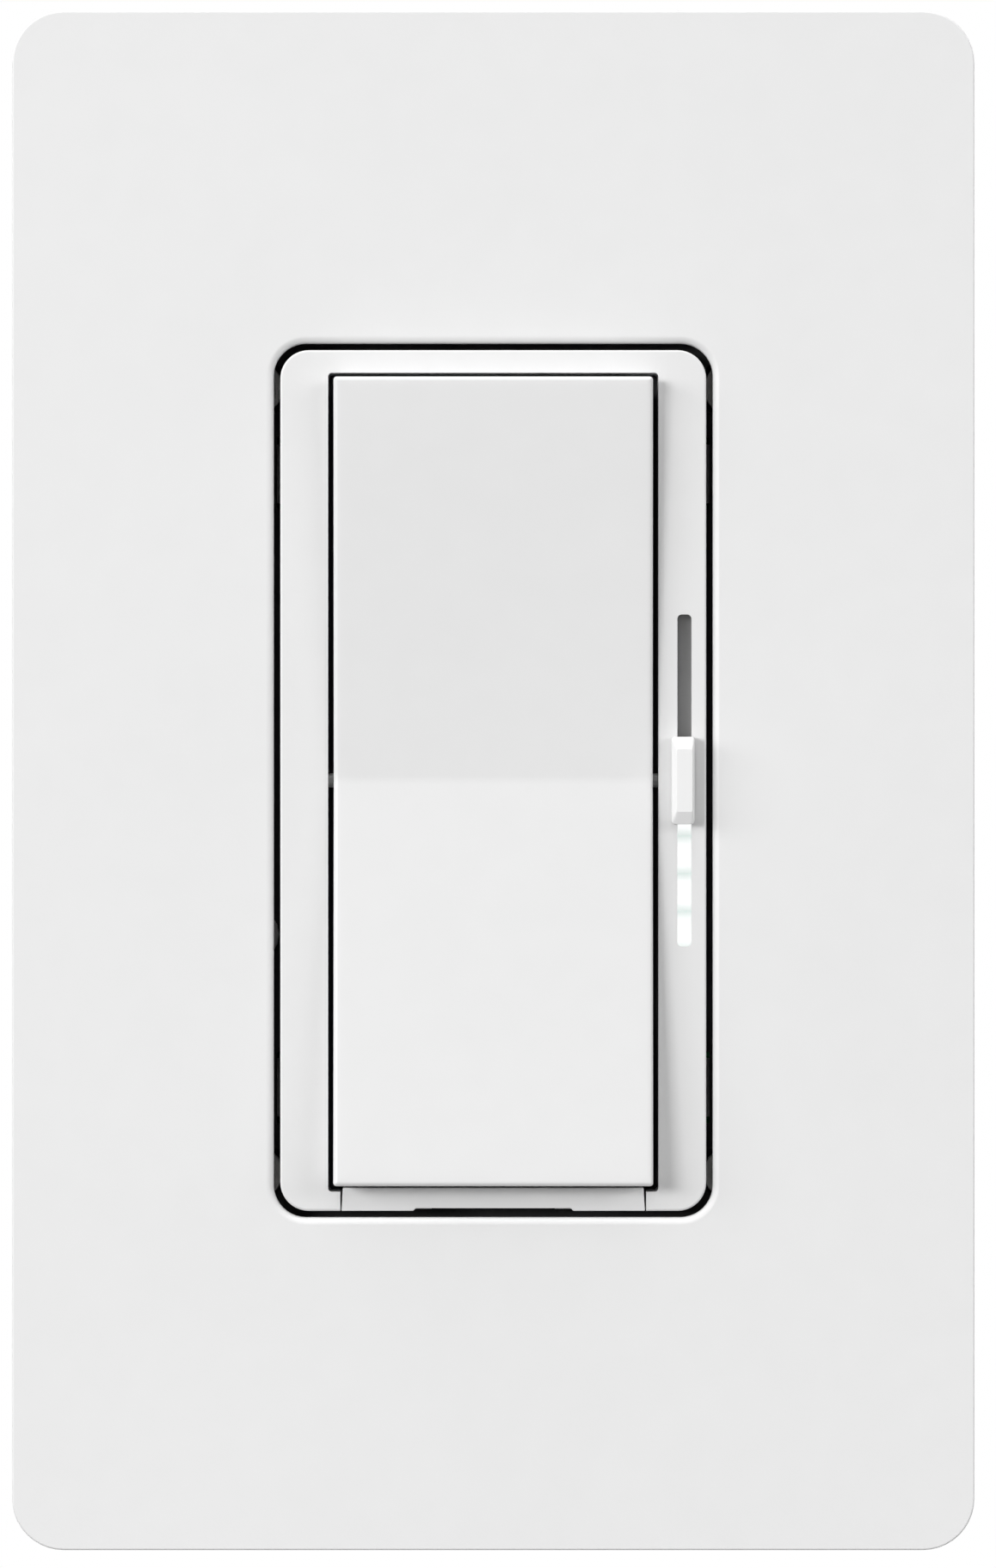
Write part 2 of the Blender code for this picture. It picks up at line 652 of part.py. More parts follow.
def make_choke(ferrite, copper):
    centre = Vector((-9.4, 22.6, -12.0))
    ring_radius, section = 6.0, 2.6
    bm = bmesh.new()
    rows = []
    around, across = 24, 10
    for i in range(around):
        angle = 2 * math.pi * i / around
        outward = Vector((math.cos(angle), 0.0, math.sin(angle)))
        row = []
        for k in range(across):
            turn = 2 * math.pi * k / across
            offset = outward * (ring_radius + section * math.cos(turn))
            row.append(bm.verts.new(centre + offset + Vector((0.0, section * math.sin(turn), 0.0))))
        rows.append(row)
    for i in range(around):
        for k in range(across):
            ahead = rows[(i + 1) % around]
            k_next = (k + 1) % across
            bm.faces.new((rows[i][k], ahead[k], ahead[k_next], rows[i][k_next]))
    bmesh.ops.recalc_face_normals(bm, faces=bm.faces)
    piece("choke_core", bm, ferrite, smooth=True)

    turns, points_per_turn, sweep = 18, 10, math.radians(320)
    wire_radius = 0.4
    reach = section + wire_radius + 0.25
    path = []
    count = turns * points_per_turn
    for i in range(count + 1):
        angle = sweep * i / count
        turn = 2 * math.pi * i / points_per_turn
        outward = Vector((math.cos(angle), 0.0, math.sin(angle)))
        sideways = outward * math.cos(turn) + Vector((0.0, math.sin(turn), 0.0))
        path.append((centre + outward * ring_radius + sideways * reach, sideways))
    piece("choke_winding", wire(path, wire_radius, 5), copper, smooth=True)


def make_passives(yellow, blue, buff, clear):
    film = eased_slab(15.0, 18.0, 1.0, 16.1, 25.0, 0.5, 2)
    bmesh.ops.translate(film, vec=(9.6, 0.0, -14.0), verts=film.verts)
    piece("film_capacitor", film, yellow)
    can = [(5.0, 4.4), (5.4, 4.9), (6.6, 4.9), (7.0, 4.5), (7.4, 4.9), (20.6, 4.9), (21.0, 4.4)]
    piece("filter_capacitor", laid_along_z(can, -9.5, 21.6), blue, smooth=True)
    shape = [(6.0, 1.2), (6.6, 1.9), (8.4, 1.9), (9.0, 1.6), (13.0, 1.6), (13.6, 1.9), (15.4, 1.9), (16.0, 1.2)]
    for i, x in enumerate((4.0, 9.0)):
        piece(f"resistor_{i + 1}", laid_along_z(shape, x, 18.2, 12), buff, smooth=True)
    dome = [(11.7, 0.4), (11.85, 0.9), (12.3, 1.2), (13.3, 1.2), (13.3, 1.5), (13.9, 1.5)]
    piece("indicator_led", turned(dome, 14.9, -18.1, 14), clear, smooth=True)


def make_trimmer(white, blue):
    dial = [(-3.0, 1.9), (-2.9, 2.2), (-1.9, 2.2), (-1.9, 1.15), (0.9, 1.15)]
    rotor = piece("trim_dial", turned(dial, sides=18), white, smooth=True)
    cut(rotor, block((-1.6, 1.6), (-4.0, -2.5), (-0.3, 0.3)))
    rotor.location = Vector((TRIM_X, 0.0, TRIM_Z)) * MM
    body = block((TRIM_X - 1.75, TRIM_X + 1.75), (1.2, 5.2), (TRIM_Z - 3.2, TRIM_Z + 3.2))
    piece("trimmer_body", body, blue)


# ---------------------------------------------------------------- rear housing


def make_rear_housing(black):
    width, height = 2 * HOUSING_HALF_WIDTH, 2 * HOUSING_HALF_HEIGHT
    inner_width, inner_height = width - 2 * HOUSING_WALL, height - 2 * HOUSING_WALL
    housing = piece(
        "rear_housing",
        prism(rounded_rect(width, height, 2.0, 3), HOUSING_FRONT, HOUSING_BACK),
        black,
        smooth=True,
    )
    inner = rounded_rect(inner_width, inner_height, 0.6, 2)
    cut(housing, prism(inner, HOUSING_FRONT - 2.0, HOUSING_BACK - HOUSING_WALL))
    for sx in (-1, 1):
        for sz in (-1, 1):
            boss_x = sorted((sx * 16.0, sx * (inner_width / 2 + 0.4)))
            boss_z = sorted((sz * 28.0, sz * (inner_height / 2 + 0.4)))
            fuse(housing, block(boss_x, (HOUSING_FRONT, 13.9), boss_z))
            pilot = [(-1.0, 1.2), (11.0, 1.2)]
            cut(housing, turned(pilot, sx * HOUSING_SCREW_X, sz * HOUSING_SCREW_Z, 12))
        ledge_x = sorted((sx * 19.4, sx * (inner_width / 2 + 0.4)))
        for z in (-26.0, 0.0, 26.0):
            fuse(housing, block(ledge_x, (16.1, 29.2), (z - 1.0, z + 1.0)))
        side = sx * HOUSING_HALF_WIDTH
        for z in (-20.0, -10.0, 0.0, 10.0, 20.0):
            groove = block(sorted((side - sx * 0.6, side + sx)), (4.0, 27.0), (z - 0.8, z + 0.8))
            cut(housing, groove)
    for x in LEAD_EXITS_X:
        cut(housing, turned([(26.0, 2.4), (33.0, 2.4)], x, LEAD_EXIT_Z, 16))


def make_housing_screws(steel):
    number = 1
    for sz in (1, -1):
        for sx in (-1, 1):
            head = [(-1.6, 1.9), (-1.5, 2.1), (-0.5, 1.05)]
            shank = [(9.6, 1.05), (10.4, 0.5)]
            screw(
                f"housing_screw_{number}",
                steel,
                sx * HOUSING_SCREW_X,
                sz * HOUSING_SCREW_Z,
                head,
                shank,
                recess=0.5,
            )
            number += 1


def make_lead_grommets(rubber):
    """Bushings in the back wall, where the supply leads come out."""
    for i, x in enumerate(LEAD_EXITS_X):
        profile = [(28.0, 2.0), (30.6, 2.1), (30.6, 3.2), (31.3, 3.2), (31.6, 2.8)]
        grommet = piece(f"lead_grommet_{i + 1}", turned(profile, x, LEAD_EXIT_Z, 16), rubber, smooth=True)
        cut(grommet, turned([(27.0, 1.2), (33.0, 1.2)], x, LEAD_EXIT_Z, 12))


def build():
    clear_scene()
    white = finish("white_plastic", (0.84, 0.84, 0.84), 0.35)
    black = finish("black_plastic", (0.02, 0.02, 0.022), 0.5)
    black_metal = finish("black_metal", (0.015, 0.015, 0.016), 0.6, 0.4)
    steel = finish("zinc_steel", (0.62, 0.62, 0.6), 0.35, 1.0)
    brass = finish("brass", (0.75, 0.58, 0.28), 0.35, 1.0)
    copper = finish("copper", (0.75, 0.38, 0.2), 0.35, 1.0)
    grey = finish("grey_plastic", (0.16, 0.16, 0.16), 0.5)
    clear = finish("light_guide_acrylic", (0.95, 0.98, 0.97), 0.15)
    fibre = finish("fibre", (0.45, 0.2, 0.12), 0.8)
    board_green = finish("board_green", (0.03, 0.2, 0.08), 0.4)
    ferrite = finish("ferrite", (0.06, 0.09, 0.06), 0.6)
    yellow = finish("capacitor_yellow", (0.75, 0.55, 0.1), 0.4)
    blue = finish("capacitor_blue", (0.05, 0.1, 0.35), 0.4)
    buff = finish("resistor_buff", (0.6, 0.5, 0.35), 0.5)
    pale = finish("insulating_film", (0.75, 0.75, 0.72), 0.6)
    green = finish("ground_green", (0.05, 0.35, 0.12), 0.4, 0.6)

    make_cover(white)
    make_adapter(white)
    make_adapter_screws(steel)
    make_yoke(black_metal)
    make_mounting_screws(steel, fibre)
    make_ground_terminal(brass, green)
    make_bezel(white)
    make_paddle(white, steel, brass)
    make_slider(white, grey, black)
    make_light_guide(clear)
    make_potentiometer(black, fibre)
    make_service_tab(white)
    make_service_contacts(brass, copper)
    make_switch(black, brass, copper)
    make_board(board_green)
    make_triac(black, steel, pale, brass)
    make_choke(ferrite, copper)
    make_passives(yellow, blue, buff, clear)
    make_trimmer(white, blue)
    make_rear_housing(black)
    make_housing_screws(steel)
    make_lead_grommets(black)


build()
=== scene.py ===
"""The looks of a wall-box slide dimmer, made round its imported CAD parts.

The frame is the CAD's: X to the right, Z up, the front faces -Y, and the wall surface is y = 0.
Shapes are written in millimetres, and every mesh is scaled to metres as it is made.
"""

import json
import math

import bmesh
import bpy
from mathutils import Matrix, Vector

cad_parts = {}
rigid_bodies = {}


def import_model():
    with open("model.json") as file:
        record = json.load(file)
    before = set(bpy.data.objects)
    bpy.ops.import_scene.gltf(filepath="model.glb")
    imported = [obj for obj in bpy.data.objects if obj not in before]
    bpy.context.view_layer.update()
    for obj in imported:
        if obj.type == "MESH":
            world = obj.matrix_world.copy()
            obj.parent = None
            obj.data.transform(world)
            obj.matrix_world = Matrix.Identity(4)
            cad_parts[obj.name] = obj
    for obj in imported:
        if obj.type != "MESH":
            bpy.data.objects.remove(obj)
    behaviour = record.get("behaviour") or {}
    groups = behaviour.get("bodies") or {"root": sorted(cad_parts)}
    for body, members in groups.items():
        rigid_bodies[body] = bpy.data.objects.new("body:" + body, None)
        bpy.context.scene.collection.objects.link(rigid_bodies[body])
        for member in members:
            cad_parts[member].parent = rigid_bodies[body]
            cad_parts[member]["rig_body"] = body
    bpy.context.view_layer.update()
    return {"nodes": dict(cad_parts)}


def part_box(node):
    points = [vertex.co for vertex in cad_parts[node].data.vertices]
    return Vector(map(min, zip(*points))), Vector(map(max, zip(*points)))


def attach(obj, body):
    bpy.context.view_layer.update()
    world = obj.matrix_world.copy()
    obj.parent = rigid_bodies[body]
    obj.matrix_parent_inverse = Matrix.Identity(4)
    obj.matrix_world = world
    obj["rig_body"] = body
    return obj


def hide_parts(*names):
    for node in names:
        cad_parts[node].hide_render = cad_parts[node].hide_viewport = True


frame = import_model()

MM = 0.001
QUARTER = math.pi / 2

# Camera: the photograph shows the front squarely, with a narrow white margin round the plate
VIEW_HEIGHT = 121.53
VIEW_CENTRE_X = 0.37
VIEW_CENTRE_Z = -0.27
LENS = 250.0
SENSOR = 36.0
VIEW_DEPTH = 120.0
FLOOR_Z = -74.0
FLOOR_HALF = 1000.0

# How far past a piece a cutting tool reaches, so that no two faces coincide
CLEAR = 1.0

# Wall plate: the opening is (width, height, corner radius), and so is the bezel's slot
PLATE_CORNER = 4.0
PLATE_EDGE = 0.14
PLATE_FACE = 1.8
PLATE_WALL = 1.6
OPENING = (34.05, 67.8, 2.5)
OPENING_LIP = 0.55
SNAP_Z = 30.0
SNAP_SINK = 0.2
PLATE_SCREW_Z = 48.4

# Bezel: the well holds the paddle, and the slot the slider
BEZEL_WIDTH, BEZEL_HEIGHT = 33.0, 66.7
BEZEL_FRONT, BEZEL_BACK = -7.8, -1.9
BEZEL_CORNER = 2.2
BEZEL_EDGE = 0.18
WELL_HALF = 12.8
WELL_TOP = 31.6
WELL_BOTTOM = -31.87
WELL_WALL = 0.5
BEZEL_SKIN = 0.6
POCKET_FLOOR = -6.5
SLOT_X = 14.82
SLOT_SIZE = (1.1, 25.74, 0.35)
LEG_Z = 24.0
GUIDE_PITCH = 2.93
GUIDE_MARK = -4.3
TRUNNION_Y = -5.6
BEARING_RADIUS = 0.75
BEARING_REACH = 13.22

# Paddle, drawn square to the yoke about its trunnion line and then rocked to rest
PADDLE_HALF_WIDTH = 12.35
PADDLE_TOP = 31.16
PADDLE_BOTTOM = -31.41
PADDLE_CREASE = -2.95
PADDLE_BACK = 0.6
PADDLE_FACE_TILT = math.radians(3.8)
PADDLE_REST_TILT = math.radians(1.0)
PADDLE_END_DRAFT = math.tan(math.radians(5.0))
CREASE_RADIUS = 5.0
TRUNNION_RADIUS = 0.54
TRUNNION_REACH = 13.15

# Yoke, its screws and the rear housing
MOUNT_Z = 41.65
GROUND_X, GROUND_Z = -12.5, -39.0
TRIM_X, TRIM_Z = -18.9, -12.0
TRIAC_X, TRIAC_SCREW_Z = -7.5, 27.0
HOUSING_SCREW_X, HOUSING_SCREW_Z = 18.4, 30.6
LEAD_EXITS_X = (-10.0, 0.0, 10.0)
LEAD_EXIT_Z = 28.4
THREAD_PITCH = 0.794
THREAD_DEPTH = 0.3


# ---------------------------------------------------------------- mesh helpers


def span(node):
    """The lowest and highest corner of a CAD node, in millimetres."""
    low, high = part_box(node)
    return low / MM, high / MM


def quarter_turn(steps):
    """Even steps of angle through a quarter circle."""
    return [i / steps * QUARTER for i in range(steps + 1)]


def rounded_rect(width, height, radius, steps=10, x=0.0, z=0.0):
    """The (x, z) outline of a rectangle whose corners are quarter circles."""
    outline = []
    for corner, (sx, sz) in enumerate(((1, 1), (-1, 1), (-1, -1), (1, -1))):
        for i in range(steps + 1):
            angle = (corner + i / steps) * QUARTER
            cx = x + sx * (width / 2 - radius)
            cz = z + sz * (height / 2 - radius)
            outline.append((cx + radius * math.cos(angle), cz + radius * math.sin(angle)))
    return outline


def circle(radius, x=0.0, z=0.0, sides=48):
    """The (x, z) outline of a circle."""
    turn = 2 * math.pi / sides
    return [(x + radius * math.cos(i * turn), z + radius * math.sin(i * turn)) for i in range(sides)]


def at_y(outline, y):
    """An (x, z) outline set at a depth."""
    return [(x, y, z) for x, z in outline]


def loft(rings, looped=False):
    """A closed surface through rings of equal length: capped, or joined end to end when looped."""
    bm = bmesh.new()
    rows = [[bm.verts.new(point) for point in ring] for ring in rings]
    if looped:
        rows.append(rows[0])
    else:
        bm.faces.new(rows[0])
        bm.faces.new(rows[-1])
    for lower, upper in zip(rows, rows[1:]):
        for i in range(len(lower)):
            j = (i + 1) % len(lower)
            bm.faces.new((lower[i], lower[j], upper[j], upper[i]))
    bmesh.ops.recalc_face_normals(bm, faces=bm.faces)
    return bm


def prism(outline, y_front, y_back):
    """An (x, z) outline drawn out along Y."""
    return loft([at_y(outline, y_front), at_y(outline, y_back)])


def side_prism(outline, x_left, x_right):
    """A (y, z) outline drawn out along X."""
    return loft([[(x, y, z) for y, z in outline] for x in (x_left, x_right)])


def upright_prism(outline, z, half_length):
    """An (x, y) outline drawn out along Z, to both sides of a height."""
    return loft([[(x, y, z + dz) for x, y in outline] for dz in (-half_length, half_length)])


def block(x, y, z):
    """A box between two limits on each axis."""
    return prism([(x[0], z[0]), (x[1], z[0]), (x[1], z[1]), (x[0], z[1])], *y)


def turned(profile, x=0.0, z=0.0, sides=48, looped=False):
    """A turned piece about a Y line, from (y, radius) pairs."""
    return loft([at_y(circle(radius, x, z, sides), y) for y, radius in profile], looped)


def laid_along_x(profile, y, z, sides=32):
    """A turned piece about an X line, from (x, radius) pairs."""
    return loft([[(x, py, pz) for py, pz in circle(radius, y, z, sides)] for x, radius in profile])


def new_object(name, bm):
    """Turns a bmesh in millimetres into an object in metres."""
    bmesh.ops.transform(bm, matrix=Matrix.Scale(MM, 4), verts=bm.verts)
    mesh = bpy.data.meshes.new(name)
    bm.to_mesh(mesh)
    bm.free()
    obj = bpy.data.objects.new(name, mesh)
    bpy.context.scene.collection.objects.link(obj)
    return obj


def edit(obj):
    """The object's mesh as a bmesh in millimetres."""
    bm = bmesh.new()
    bm.from_mesh(obj.data)
    bmesh.ops.transform(bm, matrix=Matrix.Scale(1 / MM, 4), verts=bm.verts)
    return bm


def put_back(obj, bm):
    """Writes an edited bmesh back to its object."""
    bmesh.ops.transform(bm, matrix=Matrix.Scale(MM, 4), verts=bm.verts)
    bm.to_mesh(obj.data)
    bm.free()


def combine(obj, operation, *tools):
    """Booleans the tools into the object's mesh, one after another."""
    for tool in tools:
        helper = new_object("tool", tool)
        modifier = obj.modifiers.new("tool", "BOOLEAN")
        modifier.operation = operation
        modifier.solver = "EXACT"
        modifier.object = helper
        graph = bpy.context.evaluated_depsgraph_get()
        result = bpy.data.meshes.new_from_object(obj.evaluated_get(graph))
        obj.modifiers.clear()
        obj.data = result
        bpy.data.objects.remove(helper)


def cut(obj, *tools):
    combine(obj, "DIFFERENCE", *tools)


def fuse(obj, *tools):
    combine(obj, "UNION", *tools)


def drill(obj, radius, x, z, y_limits):
    """Cuts a round hole along Y."""
    cut(obj, turned([(y, radius) for y in y_limits], x, z))


def ease(bm, width, segments=2, rule=None, least=40.0):
    """Rounds over the edges that turn by more than the least angle and that the rule picks."""
    sharp = math.radians(least)
    edges = []
    for edge in bm.edges:
        if edge.is_manifold and edge.calc_face_angle() > sharp and (rule is None or rule(edge)):
            edges.append(edge)
    bmesh.ops.bevel(
        bm, geom=edges, offset=width, segments=segments, profile=0.5, affect="EDGES", clamp_overlap=True
    )


def clean(bm):
    """Merges doubled corners and dissolves the seams that lie inside flat faces."""
    touching, flat = 0.002, math.radians(0.5)
    bmesh.ops.remove_doubles(bm, verts=bm.verts, dist=touching)
    bmesh.ops.dissolve_limit(bm, angle_limit=flat, verts=bm.verts, edges=bm.edges)


def eased(obj, width, segments=2):
    """Cleans an object's mesh and rounds over all its sharp edges."""
    bm = edit(obj)
    clean(bm)
    ease(bm, width, segments)
    put_back(obj, bm)


def stand_for(obj, node, material=None):
    """Finishes a piece, and shows it in place of its CAD node, riding on the same body."""
    cad = frame["nodes"][node]
    slot = cad.data.materials[0].name
    obj.data.materials.clear()
    obj.data.materials.append(material or finishes[slot])
    sharp = math.radians(35.0)
    obj.data.shade_smooth()
    obj.data.set_sharp_from_angle(angle=sharp)
    normals = obj.modifiers.new("even_normals", "WEIGHTED_NORMAL")
    normals.keep_sharp = True
    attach(obj, cad["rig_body"])
    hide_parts(node)
    return obj


def refine(node):
    """A CAD node's own shape with its edges rounded over."""
    bm = edit(frame["nodes"][node])
    clean(bm)
    ease(bm, width=0.12)
    return stand_for(new_object(node + "_eased", bm), node)


# ---------------------------------------------------------------- materials


def node_of(tree, kind, **values):
    """A new node with its sockets, or else its own settings, filled in by name."""
    node = tree.nodes.new(kind)
    for name, value in values.items():
        if name in node.inputs:
            node.inputs[name].default_value = value
        else:
            setattr(node, name, value)
    return node


def object_position(tree, stretch=(1.0, 1.0, 1.0)):
    """Object coordinates in metres, stretched for directional finishes."""
    place = tree.nodes.new("ShaderNodeTexCoord")
    mapping = node_of(tree, "ShaderNodeMapping", Scale=stretch)
    tree.links.new(place.outputs["Object"], mapping.inputs["Vector"])
    return mapping.outputs["Vector"]


def noise(tree, position, scale, detail):
    """Perlin noise, which stays mostly between 0.3 and 0.7."""
    texture = node_of(tree, "ShaderNodeTexNoise", Scale=scale, Detail=detail)
    tree.links.new(position, texture.inputs["Vector"])
    return texture.outputs["Fac"]


def remap(tree, value, low, high):
    """Turns the middle of a noise, 0.3 to 0.7, into the range from low to high."""
    node = tree.nodes.new("ShaderNodeMapRange")
    node.inputs["From Min"].default_value = 0.3
    node.inputs["From Max"].default_value = 0.7
    node.inputs["To Min"].default_value = low
    node.inputs["To Max"].default_value = high
    tree.links.new(value, node.inputs["Value"])
    return node.outputs["Result"]


def ramp(tree, value, stops, interpolation="LINEAR"):
    """A colour ramp through (position, colour) stops."""
    node = tree.nodes.new("ShaderNodeValToRGB")
    band = node.color_ramp
    band.interpolation = interpolation
    while len(band.elements) < len(stops):
        band.elements.new(1.0)
    for element, (position, colour) in zip(band.elements, stops):
        element.position = position
        element.color = (*colour, 1.0)
    tree.links.new(value, node.inputs["Fac"])
    return node.outputs["Color"]


def shade(colour, amount):
    """A colour made lighter or darker."""
    return tuple(min(1.0, channel * amount) for channel in colour)


def surface(
    name,
    colour,
    roughness,
    metallic=0.0,
    drift=0.02,
    drift_scale=60.0,
    gloss=0.05,
    grain=3200.0,
    relief=0.000004,
    stretch=(1.0, 1.0, 1.0),
):
    """A Principled finish: broad drift in colour, uneven gloss and a fine grain in the surface.

    The scales are per metre, and relief is the grain's height in metres.
    """
    material = bpy.data.materials.new(name)
    material.use_nodes = True
    tree = material.node_tree
    shader = tree.nodes["Principled BSDF"]
    shader.inputs["Metallic"].default_value = metallic
    position = object_position(tree, stretch)
    broad = noise(tree, position, drift_scale, 4.0)
    stops = ((0.3, shade(colour, 1 - drift)), (0.7, shade(colour, 1 + drift)))
    tree.links.new(ramp(tree, broad, stops), shader.inputs["Base Color"])
    uneven = noise(tree, position, drift_scale * 8, 2.0)
    tree.links.new(remap(tree, uneven, roughness - gloss, roughness + gloss), shader.inputs["Roughness"])
    fine = noise(tree, position, grain, 2.0)
    bump = node_of(tree, "ShaderNodeBump", Strength=1.0, Distance=relief)
    tree.links.new(fine, bump.inputs["Height"])
    tree.links.new(bump.outputs["Normal"], shader.inputs["Normal"])
    return material


def light_guide_finish():
    """Frosted acrylic lit from behind, with a fainter green band at each step of the level display.

    The height is shifted by whole steps to stay above zero, where the remainder counts upward.
    """
    material = surface("light_guide_glow", (0.32, 0.36, 0.35), 0.3, drift=0.01)
    tree = material.node_tree
    shader = tree.nodes["Principled BSDF"]
    place = tree.nodes.new("ShaderNodeTexCoord")
    split = tree.nodes.new("ShaderNodeSeparateXYZ")
    tree.links.new(place.outputs["Object"], split.inputs["Vector"])
    shift = node_of(tree, "ShaderNodeMath", operation="ADD")
    whole_steps = 20
    shift.inputs[1].default_value = (whole_steps * GUIDE_PITCH - GUIDE_MARK) * MM
    tree.links.new(split.outputs["Z"], shift.inputs[0])
    steps = node_of(tree, "ShaderNodeMath", operation="DIVIDE")
    steps.inputs[1].default_value = GUIDE_PITCH * MM
    tree.links.new(shift.outputs["Value"], steps.inputs[0])
    share = node_of(tree, "ShaderNodeMath", operation="FRACT")
    tree.links.new(steps.outputs["Value"], share.inputs[0])
    lit = (1.0, 1.0, 1.0)
    band = (0.68, 0.76, 0.73)
    stops = ((0.0, band), (0.22, lit), (0.78, lit), (1.0, band))
    tree.links.new(ramp(tree, share.outputs["Value"], stops), shader.inputs["Emission Color"])
    shader.inputs["Emission Strength"].default_value = 0.9
    return material


def resistor_finish():
    """Buff lacquer with painted rings along the body."""
    buff = (0.6, 0.5, 0.35)
    material = surface("resistor_lacquer", buff, 0.35)
    tree = material.node_tree
    place = tree.nodes.new("ShaderNodeTexCoord")
    split = tree.nodes.new("ShaderNodeSeparateXYZ")
    tree.links.new(place.outputs["Object"], split.inputs["Vector"])
    low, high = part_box("resistor_1")
    along = tree.nodes.new("ShaderNodeMapRange")
    along.inputs["From Min"].default_value = low.z
    along.inputs["From Max"].default_value = high.z
    tree.links.new(split.outputs["Z"], along.inputs["Value"])
    brown, violet, orange, gold = (0.45, 0.06, 0.03), (0.35, 0.06, 0.3), (0.7, 0.3, 0.03), (0.65, 0.45, 0.1)
    ring_width = 0.08
    stops = [(0.0, buff)]
    for start, paint in ((0.2, brown), (0.4, violet), (0.58, orange), (0.82, gold)):
        stops += [(start, paint), (start + ring_width, buff)]
    colour = ramp(tree, along.outputs["Result"], stops, "CONSTANT")
    tree.links.new(colour, tree.nodes["Principled BSDF"].inputs["Base Color"])
    return material


def make_finishes():
    """One material for each slot of the record."""
    brushed = (1.0, 1.0, 0.06)
    return {
        "white_plastic": surface("white_device_plastic", (0.795, 0.795, 0.795), 0.36, drift=0.006),
        "zinc_steel": surface(
            "zinc_plate", (0.62, 0.62, 0.6), 0.3, metallic=1.0, drift=0.08, drift_scale=400.0, gloss=0.1,
            stretch=brushed,
        ),
        "black_metal": surface(
            "black_coated_steel", (0.045, 0.045, 0.046), 0.5, metallic=0.2, drift=0.2, drift_scale=200.0,
            gloss=0.08, grain=1800.0, relief=0.00001,
        ),
        "fibre": surface(
            "vulcanised_fibre", (0.36, 0.13, 0.07), 0.75, drift=0.15, drift_scale=700.0, gloss=0.08,
            grain=2500.0, relief=0.00002,
        ),
        "brass": surface(
            "stamped_brass", (0.75, 0.55, 0.25), 0.3, metallic=1.0, drift=0.1, drift_scale=300.0, gloss=0.1
        ),
        "copper": surface(
            "copper_alloy", (0.78, 0.38, 0.2), 0.32, metallic=1.0, drift=0.1, drift_scale=300.0, gloss=0.1
        ),
        "ground_green": surface(
            "green_dyed_metal", (0.03, 0.3, 0.1), 0.35, metallic=0.7, drift=0.1, drift_scale=300.0,
            gloss=0.08,
        ),
        "grey_plastic": surface("grey_moulding", (0.42, 0.42, 0.42), 0.45),
        "black_plastic": surface(
            "black_thermoset", (0.028, 0.028, 0.03), 0.45, drift=0.15, drift_scale=120.0, gloss=0.08,
            grain=2600.0, relief=0.000012,
        ),
        "black_rubber": surface(
            "black_rubber", (0.022, 0.022, 0.022), 0.7, drift=0.15, drift_scale=200.0, gloss=0.1,
            grain=2200.0, relief=0.00001,
        ),
        "light_guide_acrylic": light_guide_finish(),
        "led_lens": surface("clear_epoxy", (0.85, 0.95, 0.9), 0.12),
        "board_green": surface(
            "solder_mask", (0.02, 0.17, 0.06), 0.3, drift=0.25, drift_scale=500.0, gloss=0.08,
            grain=900.0, relief=0.00003,
        ),
        "ferrite": surface(
            "powder_core", (0.05, 0.085, 0.055), 0.6, drift=0.25, drift_scale=900.0, gloss=0.1,
            grain=4000.0, relief=0.00002,
        ),
        "capacitor_yellow": surface("yellow_film", (0.75, 0.52, 0.07), 0.3, drift=0.06),
        "capacitor_blue": surface("blue_sleeve", (0.03, 0.08, 0.33), 0.3, drift=0.08),
        "resistor_buff": resistor_finish(),
        "insulating_film": surface("mica_film", (0.72, 0.72, 0.68), 0.5, drift=0.1, drift_scale=500.0),
    }


# ---------------------------------------------------------------- wall plate


